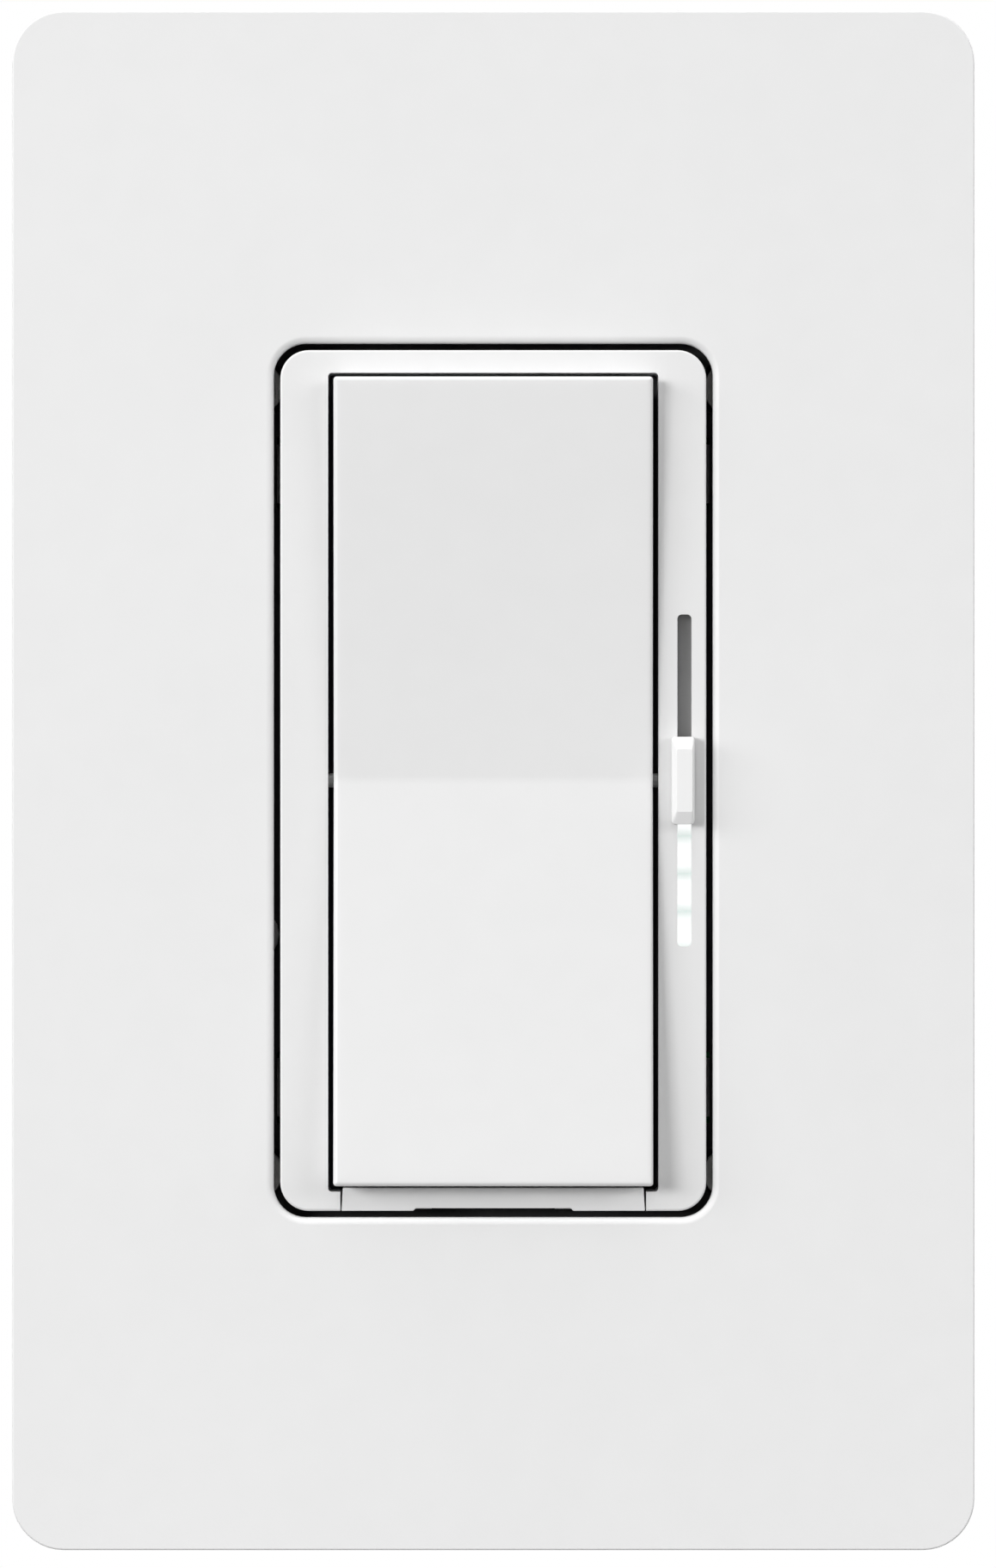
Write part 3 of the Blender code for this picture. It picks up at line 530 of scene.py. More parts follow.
def make_cover():
    """One skin from the back rim over the rounded edge and the face, through the opening and back inside."""
    low, high = span("wallplate_cover")
    width, height = high.x - low.x, high.z - low.z
    front, back = low.y, high.y
    rim, fillet, arc = 0.15, 0.5, 8

    def ring(inset, y, corner):
        return at_y(rounded_rect(width - 2 * inset, height - 2 * inset, corner), y)

    def mouth(outset, y):
        wide, tall, corner = OPENING
        return at_y(rounded_rect(wide + 2 * outset, tall + 2 * outset, corner + outset), y)

    rings = [ring(rim, back, PLATE_CORNER - rim), ring(0.0, back - rim, PLATE_CORNER)]
    for angle in quarter_turn(arc):
        inset = PLATE_EDGE * (1 - math.cos(angle))
        rings.append(ring(inset, front + PLATE_EDGE * (1 - math.sin(angle)), PLATE_CORNER - inset))
    for angle in quarter_turn(arc):
        rings.append(mouth(OPENING_LIP * (1 - math.sin(angle)), front + OPENING_LIP * (1 - math.cos(angle))))
    inner_y = front + PLATE_FACE
    rings += [mouth(0.0, inner_y - rim), mouth(rim, inner_y)]
    fuller = 0.3
    for angle in quarter_turn(3):
        inset = PLATE_WALL + fillet * (1 - math.sin(angle))
        rings.append(ring(inset, inner_y + fillet * (1 - math.cos(angle)), PLATE_CORNER - inset + fuller))
    rings += [ring(PLATE_WALL, back - rim, PLATE_CORNER - PLATE_WALL)]
    rings += [ring(PLATE_WALL - rim, back, PLATE_CORNER - PLATE_WALL + rim)]
    cover = new_object("plate_cover", loft(rings, looped=True))
    rib_height, rib_half_length = 0.7, 5.0
    rib_front, rib_full, rib_back = -4.0, -3.4, -2.7
    for side in (-1, 1):
        wall = side * (width / 2 - PLATE_WALL)
        root, crest = wall + side * SNAP_SINK, wall - side * rib_height
        rib = [(root, rib_front), (crest, rib_full), (crest, rib_back), (root, rib_back)]
        for z in (-SNAP_Z, SNAP_Z):
            fuse(cover, upright_prism(rib, z, rib_half_length))
    pry_half_width, pry_front, pry_depth = 3.5, -1.5, 2.2
    pry_slot = (low.z - CLEAR, low.z + pry_depth)
    cut(cover, block((-pry_half_width, pry_half_width), (pry_front, CLEAR), pry_slot))
    return stand_for(cover, "wallplate_cover", plate_plastic)


def make_adapter():
    """A shallow tray that the cover snaps onto, with windows for the device and its screws."""
    low, high = span("wallplate_adapter")
    width, height, wall = 69.0, high.z - low.z, 1.4
    outer_corner, inner_corner = 2.6, 1.6
    front, back, tray_floor = -3.3, high.y, -2.0
    through = (-6.0, 1.0)
    adapter = new_object("plate_adapter", prism(rounded_rect(width, height, outer_corner), front, back))
    cut(adapter, prism(rounded_rect(width - 2 * wall, height - 2 * wall, inner_corner), tray_floor, CLEAR))
    device_window = rounded_rect(35.4, 69.0, outer_corner)
    cut(adapter, prism(device_window, *through))
    trim_access, screw_clearance = 2.8, 1.9
    drill(adapter, trim_access, TRIM_X, TRIM_Z, through)
    for end in (-1, 1):
        box_screw_window = rounded_rect(12.0, 14.0, 3.0, z=end * 38.3)
        cut(adapter, prism(box_screw_window, *through))
        drill(adapter, screw_clearance, 0.0, end * PLATE_SCREW_Z, through)
    fin_x, fin_half_width, fin_depth, fin_half_length = 25.0, 0.6, (-4.6, -3.0), 44.0
    hook_sink, hook_reach, hook_half_length = 0.4, 0.65, 4.6
    hook_front, hook_full, hook_back = -2.4, -1.9, -0.9
    for side in (-1, 1):
        fin = (side * fin_x - fin_half_width, side * fin_x + fin_half_width)
        fuse(adapter, block(fin, fin_depth, (-fin_half_length, fin_half_length)))
        edge = side * width / 2
        root, tip = edge - side * hook_sink, edge + side * hook_reach
        hook = [(root, hook_front), (tip, hook_front), (tip, hook_full), (root, hook_back)]
        for z in (-SNAP_Z, SNAP_Z):
            fuse(adapter, upright_prism(hook, z, hook_half_length))
    eased(adapter, 0.15)
    stand_for(adapter, "wallplate_adapter", plate_plastic)


# ---------------------------------------------------------------- yoke, screws and terminals


def make_yoke():
    """A pressed strap with narrower ears, windows for the moving parts and holes for every screw."""
    low, high = span("yoke")
    front, back = low.y, high.y
    half_width, half_height = high.x, high.z
    waist, ear, shoulder, corner = 35.5, 17.0, 3.0, 3.0
    chamfer, arc = 1.0, 12
    upper_right = [(half_width, waist - chamfer), (half_width - chamfer, waist), (ear + shoulder, waist)]
    for angle in quarter_turn(arc):
        x, z = ear - corner + corner * math.cos(angle), half_height - corner + corner * math.sin(angle)
        upper_right.append((x, z))
    right = [(x, -z) for x, z in reversed(upper_right)] + upper_right
    outline = right + [(-x, z) for x, z in reversed(right)]
    yoke = new_object("steel_yoke", prism(outline, front, back))
    through = (-3.0, 2.0)
    windows = {
        "switch_plunger": ((-4.6, 4.6), (-4.6, 4.6)),
        "slider_lever": ((13.15, 14.25), (-11.0, 11.0)),
        "light_guide_foot": ((13.95, 15.9), (-19.3, -16.9)),
        "service_tab_stem": ((-5.0, 5.0), (-33.35, -31.85)),
    }
    for x_limits, z_limits in windows.values():
        cut(yoke, block(x_limits, through, z_limits))
    dial_hole, triac_hole, alignment_hole, plate_screw_hole = 1.5, 1.6, 1.3, 1.8
    drill(yoke, dial_hole, TRIM_X, TRIM_Z, through)
    drill(yoke, triac_hole, TRIAC_X, TRIAC_SCREW_Z, through)
    ground_sink = [(-3.0, 2.8), (-0.8, 2.8), (-0.8, 1.5), (2.0, 1.5)]
    cut(yoke, turned(ground_sink, GROUND_X, GROUND_Z))
    for end in (-1, 1):
        mounting_slot = rounded_rect(7.6, 4.4, 2.19, z=end * MOUNT_Z)
        cut(yoke, prism(mounting_slot, *through))
        drill(yoke, plate_screw_hole, 0.0, end * PLATE_SCREW_Z, through)
        for side in (-1, 1):
            leg_x = sorted((side * 14.9, side * 16.9))
            cut(yoke, block(leg_x, through, (end * LEG_Z - 2.8, end * LEG_Z + 2.8)))
            sink = [(-3.0, 3.8), (-1.6, 2.4), (-0.6, 1.4), (2.0, 1.4)]
            cut(yoke, turned(sink, side * HOUSING_SCREW_X, end * HOUSING_SCREW_Z))
            drill(yoke, alignment_hole, side * 12.5, end * MOUNT_Z, through)
    eased(yoke, 0.15)
    stand_for(yoke, "yoke")


def screw(name, node, z, head, shank, recess):
    """A cross-recessed screw along Y with a rolled thread.

    head holds (y, radius) pairs, and shank is (start, end, crest radius).
    """
    sides, steps_per_turn = 32, 8
    point_length, point_size, run_in = 1.2, 0.55, 1.0
    start, end, crest = shank
    root = crest - THREAD_DEPTH
    rings = [at_y(circle(radius, 0.0, z, sides), y) for y, radius in head]
    count = int((end - start) / THREAD_PITCH * steps_per_turn)
    for i in range(count + 1):
        y = start + (end - start) * i / count
        taper = point_size + (1 - point_size) * min(1.0, (end - y) / point_length)
        grown = min(1.0, (y - start) / run_in)
        ring = []
        for k in range(sides):
            phase = ((y - start) / THREAD_PITCH - k / sides) % 1.0
            ridge = min(1.0, max(0.0, 1.5 * (1 - abs(2 * phase - 1)) - 0.2))
            radius = (root + THREAD_DEPTH * ridge * grown) * taper
            angle = 2 * math.pi * k / sides
            ring.append((radius * math.cos(angle), y, z + radius * math.sin(angle)))
        rings.append(ring)
    obj = new_object(name, loft(rings))
    front = head[0][0]
    arm = 0.55 * head[-1][1]
    arm_width = 0.22 * arm
    for wide, tall in ((arm, arm_width), (arm_width, arm)):
        mouth = rounded_rect(2 * wide, 2 * tall, 0.1, 3, z=z)
        floor = rounded_rect(1.2 * wide, 1.2 * tall, 0.05, 3, z=z)
        cut(obj, loft([at_y(mouth, front - CLEAR), at_y(mouth, front + 0.1), at_y(floor, front + recess)]))
    stand_for(obj, node)


def domed(front, back, radius, flat):
    """The (y, radius) profile of a screw head, from its flat front round to its seat."""
    profile = []
    arc, bevel = 8, 0.1
    rise = (back - front) * 0.62
    for angle in quarter_turn(arc):
        profile.append((front + rise * (1 - math.cos(angle)), flat + (radius - flat) * math.sin(angle)))
    return profile + [(back - bevel, radius), (back, radius - bevel)]


def make_screws():
    """At each end: the box screw with its fibre retainer, and the adapter's screw."""
    for word, end in (("upper", 1), ("lower", -1)):
        mount_z, plate_z = end * MOUNT_Z, end * PLATE_SCREW_Z
        box_head = domed(-3.9, -1.9, 3.2, 1.6)
        screw("box_screw_" + word, "mounting_screw_" + word, mount_z, box_head, (-1.9, 21.6, 1.7), 0.9)
        plate_head = domed(-5.3, -3.6, 2.9, 1.5)
        screw("plate_screw_" + word, "adapter_screw_" + word, plate_z, plate_head, (-3.6, 7.2, 1.55), 0.8)
        washer_outline = rounded_rect(9.0, 9.0, 1.5, z=mount_z)
        washer = new_object("fibre_retainer_" + word, prism(washer_outline, 0.3, 0.9))
        drill(washer, 1.9, 0.0, mount_z, (-1.0, 2.0))
        eased(washer, 0.08)
        stand_for(washer, "screw_retainer_" + word)


def make_ground_terminal():
    """A lug with a crimp barrel below its eye, held to the yoke by a hollow rivet."""
    x, z = GROUND_X, GROUND_Z
    barrel_z = z - 5.0
    lug = new_object("earth_lug", prism(rounded_rect(6.4, 11.0, 2.4, x=x, z=z - 1.8), 0.3, 1.1))
    drill(lug, 1.5, x, z, (-1.0, 3.0))
    fuse(lug, turned([(0.9, 1.7), (1.5, 1.9), (5.5, 1.9)], x, barrel_z))
    drill(lug, 1.2, x, barrel_z, (2.0, 7.0))
    eased(lug, 0.1)
    stand_for(lug, "ground_lug")
    front = [(-1.6, 1.5), (-1.5, 2.1), (-1.3, 2.38), (-1.1, 2.4)]
    tail = [(-1.1, 1.3), (1.4, 1.3), (1.4, 2.1), (1.6, 2.05), (1.8, 1.8), (1.9, 1.2)]
    stand_for(new_object("earth_rivet", turned(front + tail, x, z)), "ground_rivet")


# ---------------------------------------------------------------- bezel


def on_front(y, tolerance=0.02):
    """A rule that picks the edges lying in the plane at y."""
    return lambda edge: all(abs(vertex.co.y - y) < tolerance for vertex in edge.verts)


def make_bezel():
    """The face frame: a well for the paddle, the slider's slot, a bay for the tab and four hooked legs."""
    rings = []
    arc = 8
    for angle in quarter_turn(arc):
        inset = BEZEL_EDGE * (1 - math.sin(angle))
        outline = rounded_rect(BEZEL_WIDTH - 2 * inset, BEZEL_HEIGHT - 2 * inset, BEZEL_CORNER - inset)
        rings.append(at_y(outline, BEZEL_FRONT + BEZEL_EDGE * (1 - math.cos(angle))))
    rings.append(at_y(rounded_rect(BEZEL_WIDTH, BEZEL_HEIGHT, BEZEL_CORNER), BEZEL_BACK))
    bezel = new_object("face_bezel", loft(rings))
    rear, ahead = 1.0, BEZEL_FRONT - 3.0
    well_middle = (WELL_TOP + WELL_BOTTOM) / 2
    well = rounded_rect(2 * WELL_HALF, WELL_TOP - WELL_BOTTOM, 0.3, 5, z=well_middle)
    cut(bezel, prism(well, ahead, rear))

    # The pockets behind the two side strips, the right one taller for the slider, then its slot
    inner, outer = WELL_HALF + WELL_WALL, BEZEL_WIDTH / 2 - BEZEL_SKIN
    pocket, pocket_half_height, slider_pocket_top = (POCKET_FLOOR, rear), 31.8, 32.75
    cut(bezel, block((-outer, -inner), pocket, (-pocket_half_height, pocket_half_height)))
    cut(bezel, block((inner, outer), pocket, (-pocket_half_height, slider_pocket_top)))
    slot_width, slot_height, slot_corner = SLOT_SIZE
    slot_back = -5.0
    cut(bezel, prism(rounded_rect(slot_width, slot_height, slot_corner, 6, x=SLOT_X), ahead, slot_back))

    # The bay of the service tab, the bar across its back and the notch for its stem
    tab_bay, cross_bar, stem_notch = (-11.85, 11.85), (-11.2, 11.2), (-4.8, 4.8)
    below = -35.0
    cut(bezel, block(tab_bay, (ahead, -3.9), (below, WELL_BOTTOM + 0.5)))
    fuse(bezel, block(cross_bar, (-3.4, BEZEL_BACK), (-32.4, -30.2)))
    cut(bezel, block(stem_notch, (-4.5, rear), (below, -31.95)))

    # On each side a blind trunnion bearing, open behind for assembly, and two legs with hooks
    snap_slot_half, leg_half_length = 0.6, 2.3
    leg_front, hook_y, leg_end = -2.6, 0.35, 1.5
    for side in (-1, 1):
        near, far = side * (WELL_HALF - 1.0), side * BEARING_REACH
        bore = [(near, BEARING_RADIUS), (far, BEARING_RADIUS)]
        cut(bezel, laid_along_x(bore, TRUNNION_Y, 0.0))
        cut(bezel, block(sorted((near, far)), (TRUNNION_Y, rear), (-snap_slot_half, snap_slot_half)))
        wall = side * (BEZEL_WIDTH / 2 - 0.05)
        hook_tip, nose, inside = wall + side * 0.75, wall - side * 0.1, wall - side * 1.1
        leg = [(wall, leg_front), (wall, hook_y), (hook_tip, hook_y), (nose, leg_end),
               (inside, leg_end), (inside, leg_front)]
        for z in (-LEG_Z, LEG_Z):
            fuse(bezel, upright_prism(leg, z, leg_half_length))
    bm = edit(bezel)
    clean(bm)
    ease(bm, 0.1, 3, on_front(BEZEL_FRONT), 60.0)
    put_back(bezel, bm)
    stand_for(bezel, "bezel")


# ---------------------------------------------------------------- paddle


def paddle_face(z):
    """The depth of the paddle's V-shaped face at a height, with its crease drawn as a soft arc."""
    reach = CREASE_RADIUS * math.sin(PADDLE_FACE_TILT)
    if abs(z) > reach:
        return PADDLE_CREASE - abs(z) * math.tan(PADDLE_FACE_TILT)
    sagitta = CREASE_RADIUS - math.sqrt(CREASE_RADIUS**2 - z**2)
    dip = CREASE_RADIUS * (1 / math.cos(PADDLE_FACE_TILT) - 1)
    return PADDLE_CREASE - dip - sagitta


def paddle_rim(inset):
    """How far the face falls back near its edge: a slight roll-over, then the edge radius."""
    roll, roll_width = 0.035, 1.2
    radius = 0.33
    fall = roll * max(0.0, 1 - inset / roll_width) ** 2
    if inset < radius:
        fall += radius - math.sqrt(radius**2 - (radius - inset) ** 2)
    return fall


def paddle_skin():
    """The outer solid, as rings that run up the right side and down the left one.

    Each ring is the outline moved inward, closer together where the edge turns over.
    """
    corner, steps = 0.26, 8
    reach = CREASE_RADIUS * math.sin(PADDLE_FACE_TILT)
    heights = [-20.0, -10.0, -3.0] + [reach * i / 4 for i in range(-4, 5)] + [3.0, 10.0, 20.0]
    insets = [0.0, 0.01, 0.03, 0.06, 0.1, 0.15, 0.2, 0.26, 0.33, 0.45, 0.6, 0.8, 1.2]

    def right_side(inset):
        radius = max(corner - inset, 0.02)
        x_edge = PADDLE_HALF_WIDTH - inset
        x_centre = x_edge - radius
        lower_centre, upper_centre = PADDLE_BOTTOM + inset + radius, PADDLE_TOP - inset - radius
        points = []
        for angle in quarter_turn(steps):
            down = angle - QUARTER
            points.append((x_centre + radius * math.cos(down), lower_centre + radius * math.sin(down)))
        points += [(x_edge, z) for z in heights]
        for angle in quarter_turn(steps):
            points.append((x_centre + radius * math.cos(angle), upper_centre + radius * math.sin(angle)))
        return points

    rings = []
    depth = PADDLE_BACK - paddle_face(PADDLE_BOTTOM)
    shrink = 1 - depth * PADDLE_END_DRAFT / PADDLE_TOP
    rings.append([(x, PADDLE_BACK, z * shrink) for x, z in right_side(0.0)])
    for inset in insets:
        rings.append([(x, paddle_face(z) + paddle_rim(inset), z) for x, z in right_side(inset)])
    bm = bmesh.new()
    rows = []
    for ring in rings:
        right = [bm.verts.new(point) for point in ring]
        left = [bm.verts.new((-x, y, z)) for x, y, z in ring]
        rows.append((right, left))
    for row, ahead in zip(rows, rows[1:]):
        loop, ahead_loop = row[0] + row[1][::-1], ahead[0] + ahead[1][::-1]
        for i in range(len(loop)):
            j = (i + 1) % len(loop)
            bm.faces.new((loop[i], loop[j], ahead_loop[j], ahead_loop[i]))
    for right, left in (rows[0], rows[-1]):
        for i in range(len(right) - 1):
            bm.faces.new((right[i], right[i + 1], left[i + 1], left[i]))
    bmesh.ops.recalc_face_normals(bm, faces=bm.faces)
    return bm


def paddle_hollow(skin, end_wall, back):
    """The (y, z) outline of the hollow behind the paddle's face."""
    outline = [(PADDLE_CREASE + skin, 0.0)]
    for end in (PADDLE_BOTTOM, PADDLE_TOP):
        direction = 1 if end > 0 else -1
        z_front = end - direction * end_wall
        y_front = PADDLE_CREASE + skin - abs(z_front) * math.tan(PADDLE_FACE_TILT)
        z_back = z_front - direction * (back - y_front) * PADDLE_END_DRAFT
        corners = [(y_front, z_front), (back, z_back)]
        outline += corners if direction < 0 else corners[::-1]
    return outline


def make_paddle():
    """A hollow shell with ribs behind its face, a boss for the plunger and a trunnion on each side."""
    side_wall, skin, end_wall = 1.1, 1.4, 1.2
    paddle = new_object("rocker_paddle", paddle_skin())
    inside = PADDLE_HALF_WIDTH - side_wall
    cut(paddle, side_prism(paddle_hollow(skin, end_wall, PADDLE_BACK + 2.0), -inside, inside))
    rib_x = (-inside - 0.3, inside + 0.3)
    fuse(paddle, block(rib_x, (PADDLE_CREASE + 0.8, 0.5), (-0.7, 0.7)))
    fuse(paddle, turned([(-2.2, 2.8), (3.6, 2.8), (7.0, 2.5)]))
    plunger_radius = 1.7
    drill(paddle, plunger_radius, 0.0, 0.0, (0.9, 9.0))
    rib_z, rib_half, chamfer = 16.0, 0.5, 0.08
    for side in (-1, 1):
        fuse(paddle, block(rib_x, (-3.2, 0.2), (side * rib_z - rib_half, side * rib_z + rib_half)))
        root, reach = side * (PADDLE_HALF_WIDTH - 0.8), side * TRUNNION_REACH
        stub = [(root, TRUNNION_RADIUS), (reach - side * chamfer, TRUNNION_RADIUS)]
        stub.append((reach, TRUNNION_RADIUS - chamfer))
        fuse(paddle, laid_along_x(stub, 0.0, 0.0))
    bm = edit(paddle)
    to_rest = Matrix.Translation((0, TRUNNION_Y, 0)) @ Matrix.Rotation(-PADDLE_REST_TILT, 4, "X")
    bmesh.ops.transform(bm, matrix=to_rest, verts=bm.verts)
    put_back(paddle, bm)
    stand_for(paddle, "paddle", paddle_plastic)


# ---------------------------------------------------------------- slider and service tab


def make_knob():
    """A narrow cap: upright sides, then shoulders that slope up to a face set a little to the right."""
    low, high = span("slider_knob")
    x = (low.x + high.x) / 2
    width, height = high.x - low.x, high.z - low.z
    corner, shoulder = 0.3, 0.42
    face_width, face_height, face_corner, face_shift = 1.2, 4.85, 0.12, 0.1
    sections = (
        (high.y, width, height, corner, 0.0),
        (low.y + shoulder, width - 0.04, height - 0.08, corner, 0.0),
        (low.y, face_width, face_height, face_corner, face_shift),
    )
    rings = []
    for y, wide, tall, rounding, shift in sections:
        rings.append(at_y(rounded_rect(wide, tall, rounding, 6, x=x + shift), y))
    knob = new_object("dimmer_knob", loft(rings))
    bm = edit(knob)
    clear_of_base = -8.2
    ease(bm, 0.07, 3, lambda edge: all(vertex.co.y < clear_of_base for vertex in edge.verts), 15.0)
    put_back(knob, bm)
    post_x, post_y, post_z = (14.4, 15.1), (-8.95, -7.0), (-2.35, 2.35)
    cut(knob, block(post_x, post_y, post_z))
    stand_for(knob, "slider_knob", knob_plastic)


def make_light_guide():
    """An acrylic bar behind the slot, grooved across its front at each step of the level display."""
    low, high = span("light_guide")
    front, right = low.y, low.x + 1.35
    thickness, foot_height = 1.2, 1.8
    guide = new_object("level_guide", block((low.x, right), (front, front + thickness), (low.z, high.z)))
    fuse(guide, block((low.x, right), (front + 0.7, high.y), (low.z, low.z + foot_height)))
    groove_half, groove_depth, clear_of_front = 0.4, 0.03, 0.1
    for i in range(-3, 4):
        z = GUIDE_MARK + i * GUIDE_PITCH
        groove = [(front - clear_of_front, z - groove_half), (front + groove_depth, z)]
        groove.append((front - clear_of_front, z + groove_half))
        cut(guide, side_prism(groove, low.x - CLEAR, right + CLEAR))
    eased(guide, 0.05)
    stand_for(guide, "light_guide")


def make_service_tab():
    """The ledge under the paddle: its sides widen downward and a fingernail notch opens its lower edge."""
    low, high = span("service_tab")
    half, flare = high.x, 0.12
    notch, notch_slant, notch_height = 6.1, 0.1, 0.2
    right = [(half, high.z), (half + flare, low.z)]
    right += [(notch + notch_slant, low.z), (notch - notch_slant, low.z + notch_height)]
    outline = right + [(-x, z) for x, z in reversed(right)]
    tab_depth, stem_half, stem_z = 3.5, 4.5, (-33.0, -32.2)
    tab = new_object("pull_tab", prism(outline, low.y, low.y + tab_depth))
    fuse(tab, block((-stem_half, stem_half), (low.y + 3.0, high.y), stem_z))
    eased(tab, 0.07, 3)
    stand_for(tab, "service_tab")


# ---------------------------------------------------------------- rear housing


def make_rear_housing():
    """A deep box with screw bosses, board ribs and grooved flanks; its rating field is left blank."""
    low, high = span("rear_housing")
    half_width, half_height = high.x, high.z
    front, back = low.y, high.y
    wall, corner, edge, lip, arc = 1.5, 2.0, 1.1, 0.15, 8

    def ring(inset, y):
        wide, tall = 2 * (half_width - inset), 2 * (half_height - inset)
        return at_y(rounded_rect(wide, tall, corner - inset), y)

    rings = [ring(lip, front), ring(0.0, front + lip)]
    for angle in quarter_turn(arc):
        rings.append(ring(edge * (1 - math.cos(angle)), back - edge * (1 - math.sin(angle))))
    housing = new_object("housing_shell", loft(rings))
    inner = rounded_rect(2 * (half_width - wall), 2 * (half_height - wall), 0.8)
    cut(housing, prism(inner, front - 2.0, back - wall))

    sink = 0.4
    inner_x, inner_z = half_width - wall + sink, half_height - wall + sink
    boss_x, boss_z, boss_end = 16.0, 28.0, 13.9
    rib_x, rib_y, rib_half = 19.4, (16.1, 29.2), 1.0
    groove_y, groove_half, groove_depth = (4.0, 27.0), 0.8, 0.6
    for sx in (-1, 1):
        for sz in (-1, 1):
            across, upward = sorted((sx * boss_x, sx * inner_x)), sorted((sz * boss_z, sz * inner_z))
            fuse(housing, block(across, (front, boss_end), upward))
            drill(housing, 1.2, sx * HOUSING_SCREW_X, sz * HOUSING_SCREW_Z, (-1.0, 11.0))
        for z in (-26.0, 0.0, 26.0):
            fuse(housing, block(sorted((sx * rib_x, sx * inner_x)), rib_y, (z - rib_half, z + rib_half)))
        for z in (-20.0, -10.0, 0.0, 10.0, 20.0):
            flank = sorted((sx * (half_width - groove_depth), sx * (half_width + CLEAR)))
            cut(housing, block(flank, groove_y, (z - groove_half, z + groove_half)))
    for x in LEAD_EXITS_X:
        drill(housing, 2.4, x, LEAD_EXIT_Z, (26.0, 33.0))

    # The blank rating field, the lead tray, the gate mark and the ejector marks
    rating_field = rounded_rect(33.0, 24.0, 1.5, z=-8.0)
    lead_tray = rounded_rect(33.0, 10.0, 1.5, z=LEAD_EXIT_Z)
    gate_mark = rounded_rect(12.0, 1.6, 0.78, z=16.0)
    for outline, depth in ((rating_field, 0.35), (lead_tray, 0.35), (gate_mark, 0.5)):
        cut(housing, prism(outline, back - depth, back + CLEAR))
    for x in (-18.5, 18.5):
        for z in (-30.0, -8.0, 14.0):
            drill(housing, 1.6, x, z, (back - 0.2, back + CLEAR))
    eased(housing, 0.2, 3)
    stand_for(housing, "rear_housing")


def make_grommets():
    """Rubber bushings with a rounded flange and a lead hole."""
    neck = [(28.1, 1.95), (30.6, 2.1), (30.6, 3.0), (30.7, 3.2)]
    flange_y, flange_radius, rounding = 31.0, 2.6, 0.6
    bore = [(31.6, 1.5), (31.5, 1.3), (31.3, 1.2), (28.2, 1.2), (28.0, 1.3), (28.0, 1.85)]
    flange = []
    for angle in quarter_turn(6):
        flange.append((flange_y + rounding * math.sin(angle), flange_radius + rounding * math.cos(angle)))
    for i, x in enumerate(LEAD_EXITS_X, 1):
        bushing = new_object(f"lead_bushing_{i}", turned(neck + flange + bore, x, LEAD_EXIT_Z, looped=True))
        stand_for(bushing, f"lead_grommet_{i}")


# ---------------------------------------------------------------- stage, light and camera


def make_floor():
    """A pale floor that bounces little light back, so that the light keeps coming from above."""
    bm = bmesh.new()
    bmesh.ops.create_grid(bm, x_segments=8, y_segments=8, size=FLOOR_HALF)
    bmesh.ops.translate(bm, vec=(0, 0, FLOOR_Z), verts=bm.verts)
    floor = new_object("floor", bm)
    pale = surface("pale_floor", (0.72, 0.72, 0.71), 0.8, drift=0.02, drift_scale=3.0, grain=400.0)
    tree = pale.node_tree
    dim = node_of(tree, "ShaderNodeBsdfDiffuse", Color=(0.15, 0.15, 0.15, 1.0))
    path = tree.nodes.new("ShaderNodeLightPath")
    mix = tree.nodes.new("ShaderNodeMixShader")
    tree.links.new(path.outputs["Is Camera Ray"], mix.inputs["Fac"])
    tree.links.new(dim.outputs["BSDF"], mix.inputs[1])
    tree.links.new(tree.nodes["Principled BSDF"].outputs["BSDF"], mix.inputs[2])
    tree.links.new(mix.outputs["Shader"], tree.nodes["Material Output"].inputs["Surface"])
    floor.data.materials.append(pale)


def soft_light(name, direction, distance, width, height, strength):
    """A lamp aimed at the device, whose strength is what a white face turned to it would show."""
    data = bpy.data.lights.new(name, "AREA")
    data.shape = "RECTANGLE"
    data.size = width
    data.size_y = height
    data.energy = strength * (math.pi * distance) ** 2
    lamp = bpy.data.objects.new(name, data)
    lamp.location = Vector(direction).normalized() * distance
    lamp.rotation_euler = (-Vector(direction)).to_track_quat("-Z", "Y").to_euler()
    lamp.visible_camera = False
    bpy.context.scene.collection.objects.link(lamp)
    return lamp


def make_world():
    """White to the eye, and a dimmer sky for the light and the reflections, brighter overhead."""
    world = bpy.data.worlds.new("studio")
    world.use_nodes = True
    bpy.context.scene.world = world
    tree = world.node_tree
    seen = tree.nodes["Background"]
    seen.inputs["Color"].default_value = (1.0, 1.0, 1.0, 1.0)
    sky = tree.nodes.new("ShaderNodeBackground")
    place = tree.nodes.new("ShaderNodeTexCoord")
    split = tree.nodes.new("ShaderNodeSeparateXYZ")
    tree.links.new(place.outputs["Generated"], split.inputs["Vector"])
    rise = tree.nodes.new("ShaderNodeMapRange")
    rise.inputs["From Min"].default_value = 0.0
    rise.inputs["From Max"].default_value = 1.0
    horizon, zenith = 0.02, 1.0
    rise.inputs["To Min"].default_value = horizon
    rise.inputs["To Max"].default_value = zenith
    tree.links.new(split.outputs["Z"], rise.inputs["Value"])
    tree.links.new(rise.outputs["Result"], sky.inputs["Strength"])
    path = tree.nodes.new("ShaderNodeLightPath")
    mix = tree.nodes.new("ShaderNodeMixShader")
    tree.links.new(path.outputs["Is Camera Ray"], mix.inputs["Fac"])
    tree.links.new(sky.outputs["Background"], mix.inputs[1])
    tree.links.new(seen.outputs["Background"], mix.inputs[2])
    tree.links.new(mix.outputs["Shader"], tree.nodes["World Output"].inputs["Surface"])


def only(name, piece, state):
    """A light's list that holds one piece, to take it alone (INCLUDE) or to leave it out (EXCLUDE)."""
    listed = bpy.data.collections.new(name)
    listed.objects.link(piece)
    listed.collection_objects[0].light_linking.link_state = state
    return listed


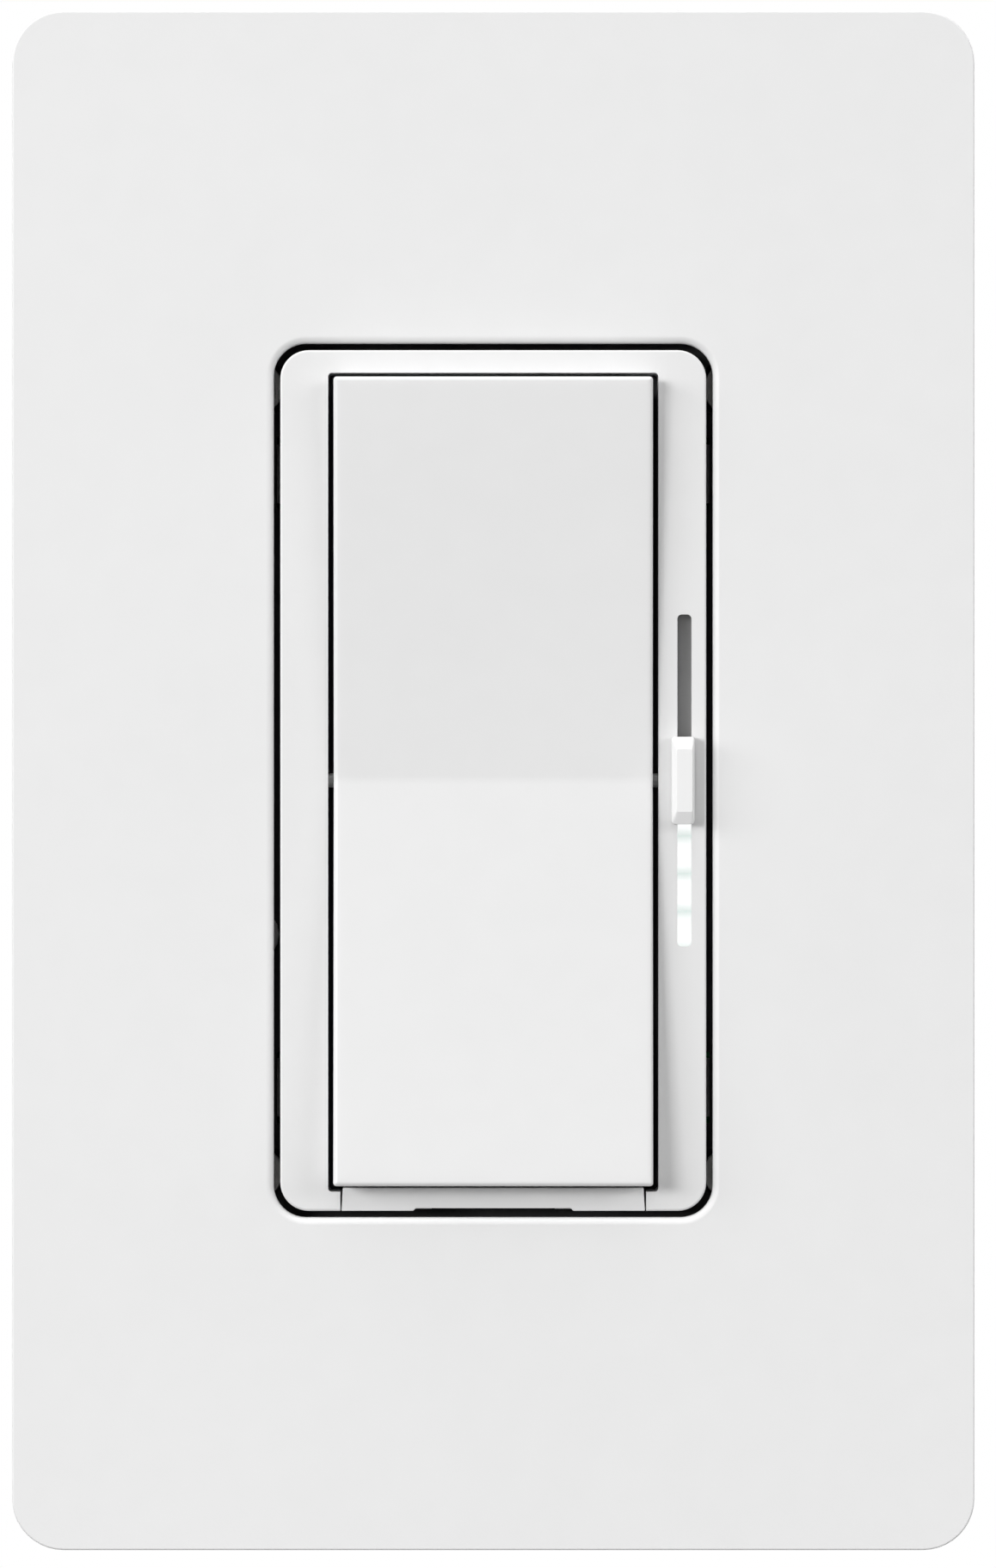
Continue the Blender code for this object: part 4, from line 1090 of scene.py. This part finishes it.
def make_lights(plate):
    """Soft lamps all round; the overhead one is split so that the paddle throws no shadow on the plate.

    A lamp is the direction it stands in, its distance, width and height in metres, and its strength.
    """
    lamps = {
        "key_left": ((-0.65, -1.0, 0.15), 2.4, 0.7, 0.5, 0.42),
        "low_left": ((-1.6, -1.0, 0.46), 2.4, 1.4, 0.9, 0.36),
        "right_fill": ((1.2, -1.0, 0.38), 2.4, 1.4, 0.9, 0.315),
        "rear_left": ((-0.8, 1.0, 0.5), 1.5, 0.8, 0.8, 0.5),
        "rear_right": ((1.0, 0.8, 0.3), 1.5, 0.6, 0.6, 0.3),
    }
    for name, lamp in lamps.items():
        soft_light(name, *lamp)
    overhead = ((-0.1, -0.16, 1.0), 6.0, 3.4, 3.4, 0.48)
    device_top = soft_light("overhead_device", *overhead)
    device_top.light_linking.receiver_collection = only("all_but_plate", plate, "EXCLUDE")
    plate_top = soft_light("overhead_plate", *overhead)
    plate_top.light_linking.receiver_collection = only("plate_lit", plate, "INCLUDE")
    plate_top.light_linking.blocker_collection = only("plate_shading", plate, "INCLUDE")


def make_camera():
    """A long lens that faces the plate squarely, from far enough to fill the picture's height."""
    data = bpy.data.cameras.new("front_view")
    data.sensor_width = SENSOR
    data.lens = LENS
    camera = bpy.data.objects.new("front_view", data)
    plate_front = span("wallplate_cover")[0].y
    distance = VIEW_HEIGHT * LENS / SENSOR
    camera.location = Vector((VIEW_CENTRE_X, plate_front - distance, VIEW_CENTRE_Z)) * MM
    camera.rotation_euler = (QUARTER, 0.0, 0.0)
    data.clip_start = 0.1 * distance * MM
    data.clip_end = (distance + VIEW_DEPTH) * MM
    bpy.context.scene.collection.objects.link(camera)
    bpy.context.scene.camera = camera
    bpy.context.scene.view_settings.view_transform = "Standard"


# ---------------------------------------------------------------- build

finishes = make_finishes()
plate_plastic = surface("white_plate_plastic", (0.8, 0.8, 0.8), 0.45, drift=0.006)
paddle_plastic = surface("white_paddle_plastic", (0.788, 0.788, 0.788), 0.34, drift=0.006)
knob_plastic = surface("white_knob_plastic", (0.86, 0.86, 0.86), 0.34, drift=0.006)

plate_cover = make_cover()
make_adapter()
make_yoke()
make_screws()
make_ground_terminal()
make_bezel()
make_paddle()
make_knob()
make_light_guide()
make_service_tab()
make_rear_housing()
make_grommets()

# Every CAD node that no piece stands for yet
for cad_node, cad_object in frame["nodes"].items():
    if not cad_object.hide_render:
        refine(cad_node)

make_floor()
make_world()
make_lights(plate_cover)
make_camera()
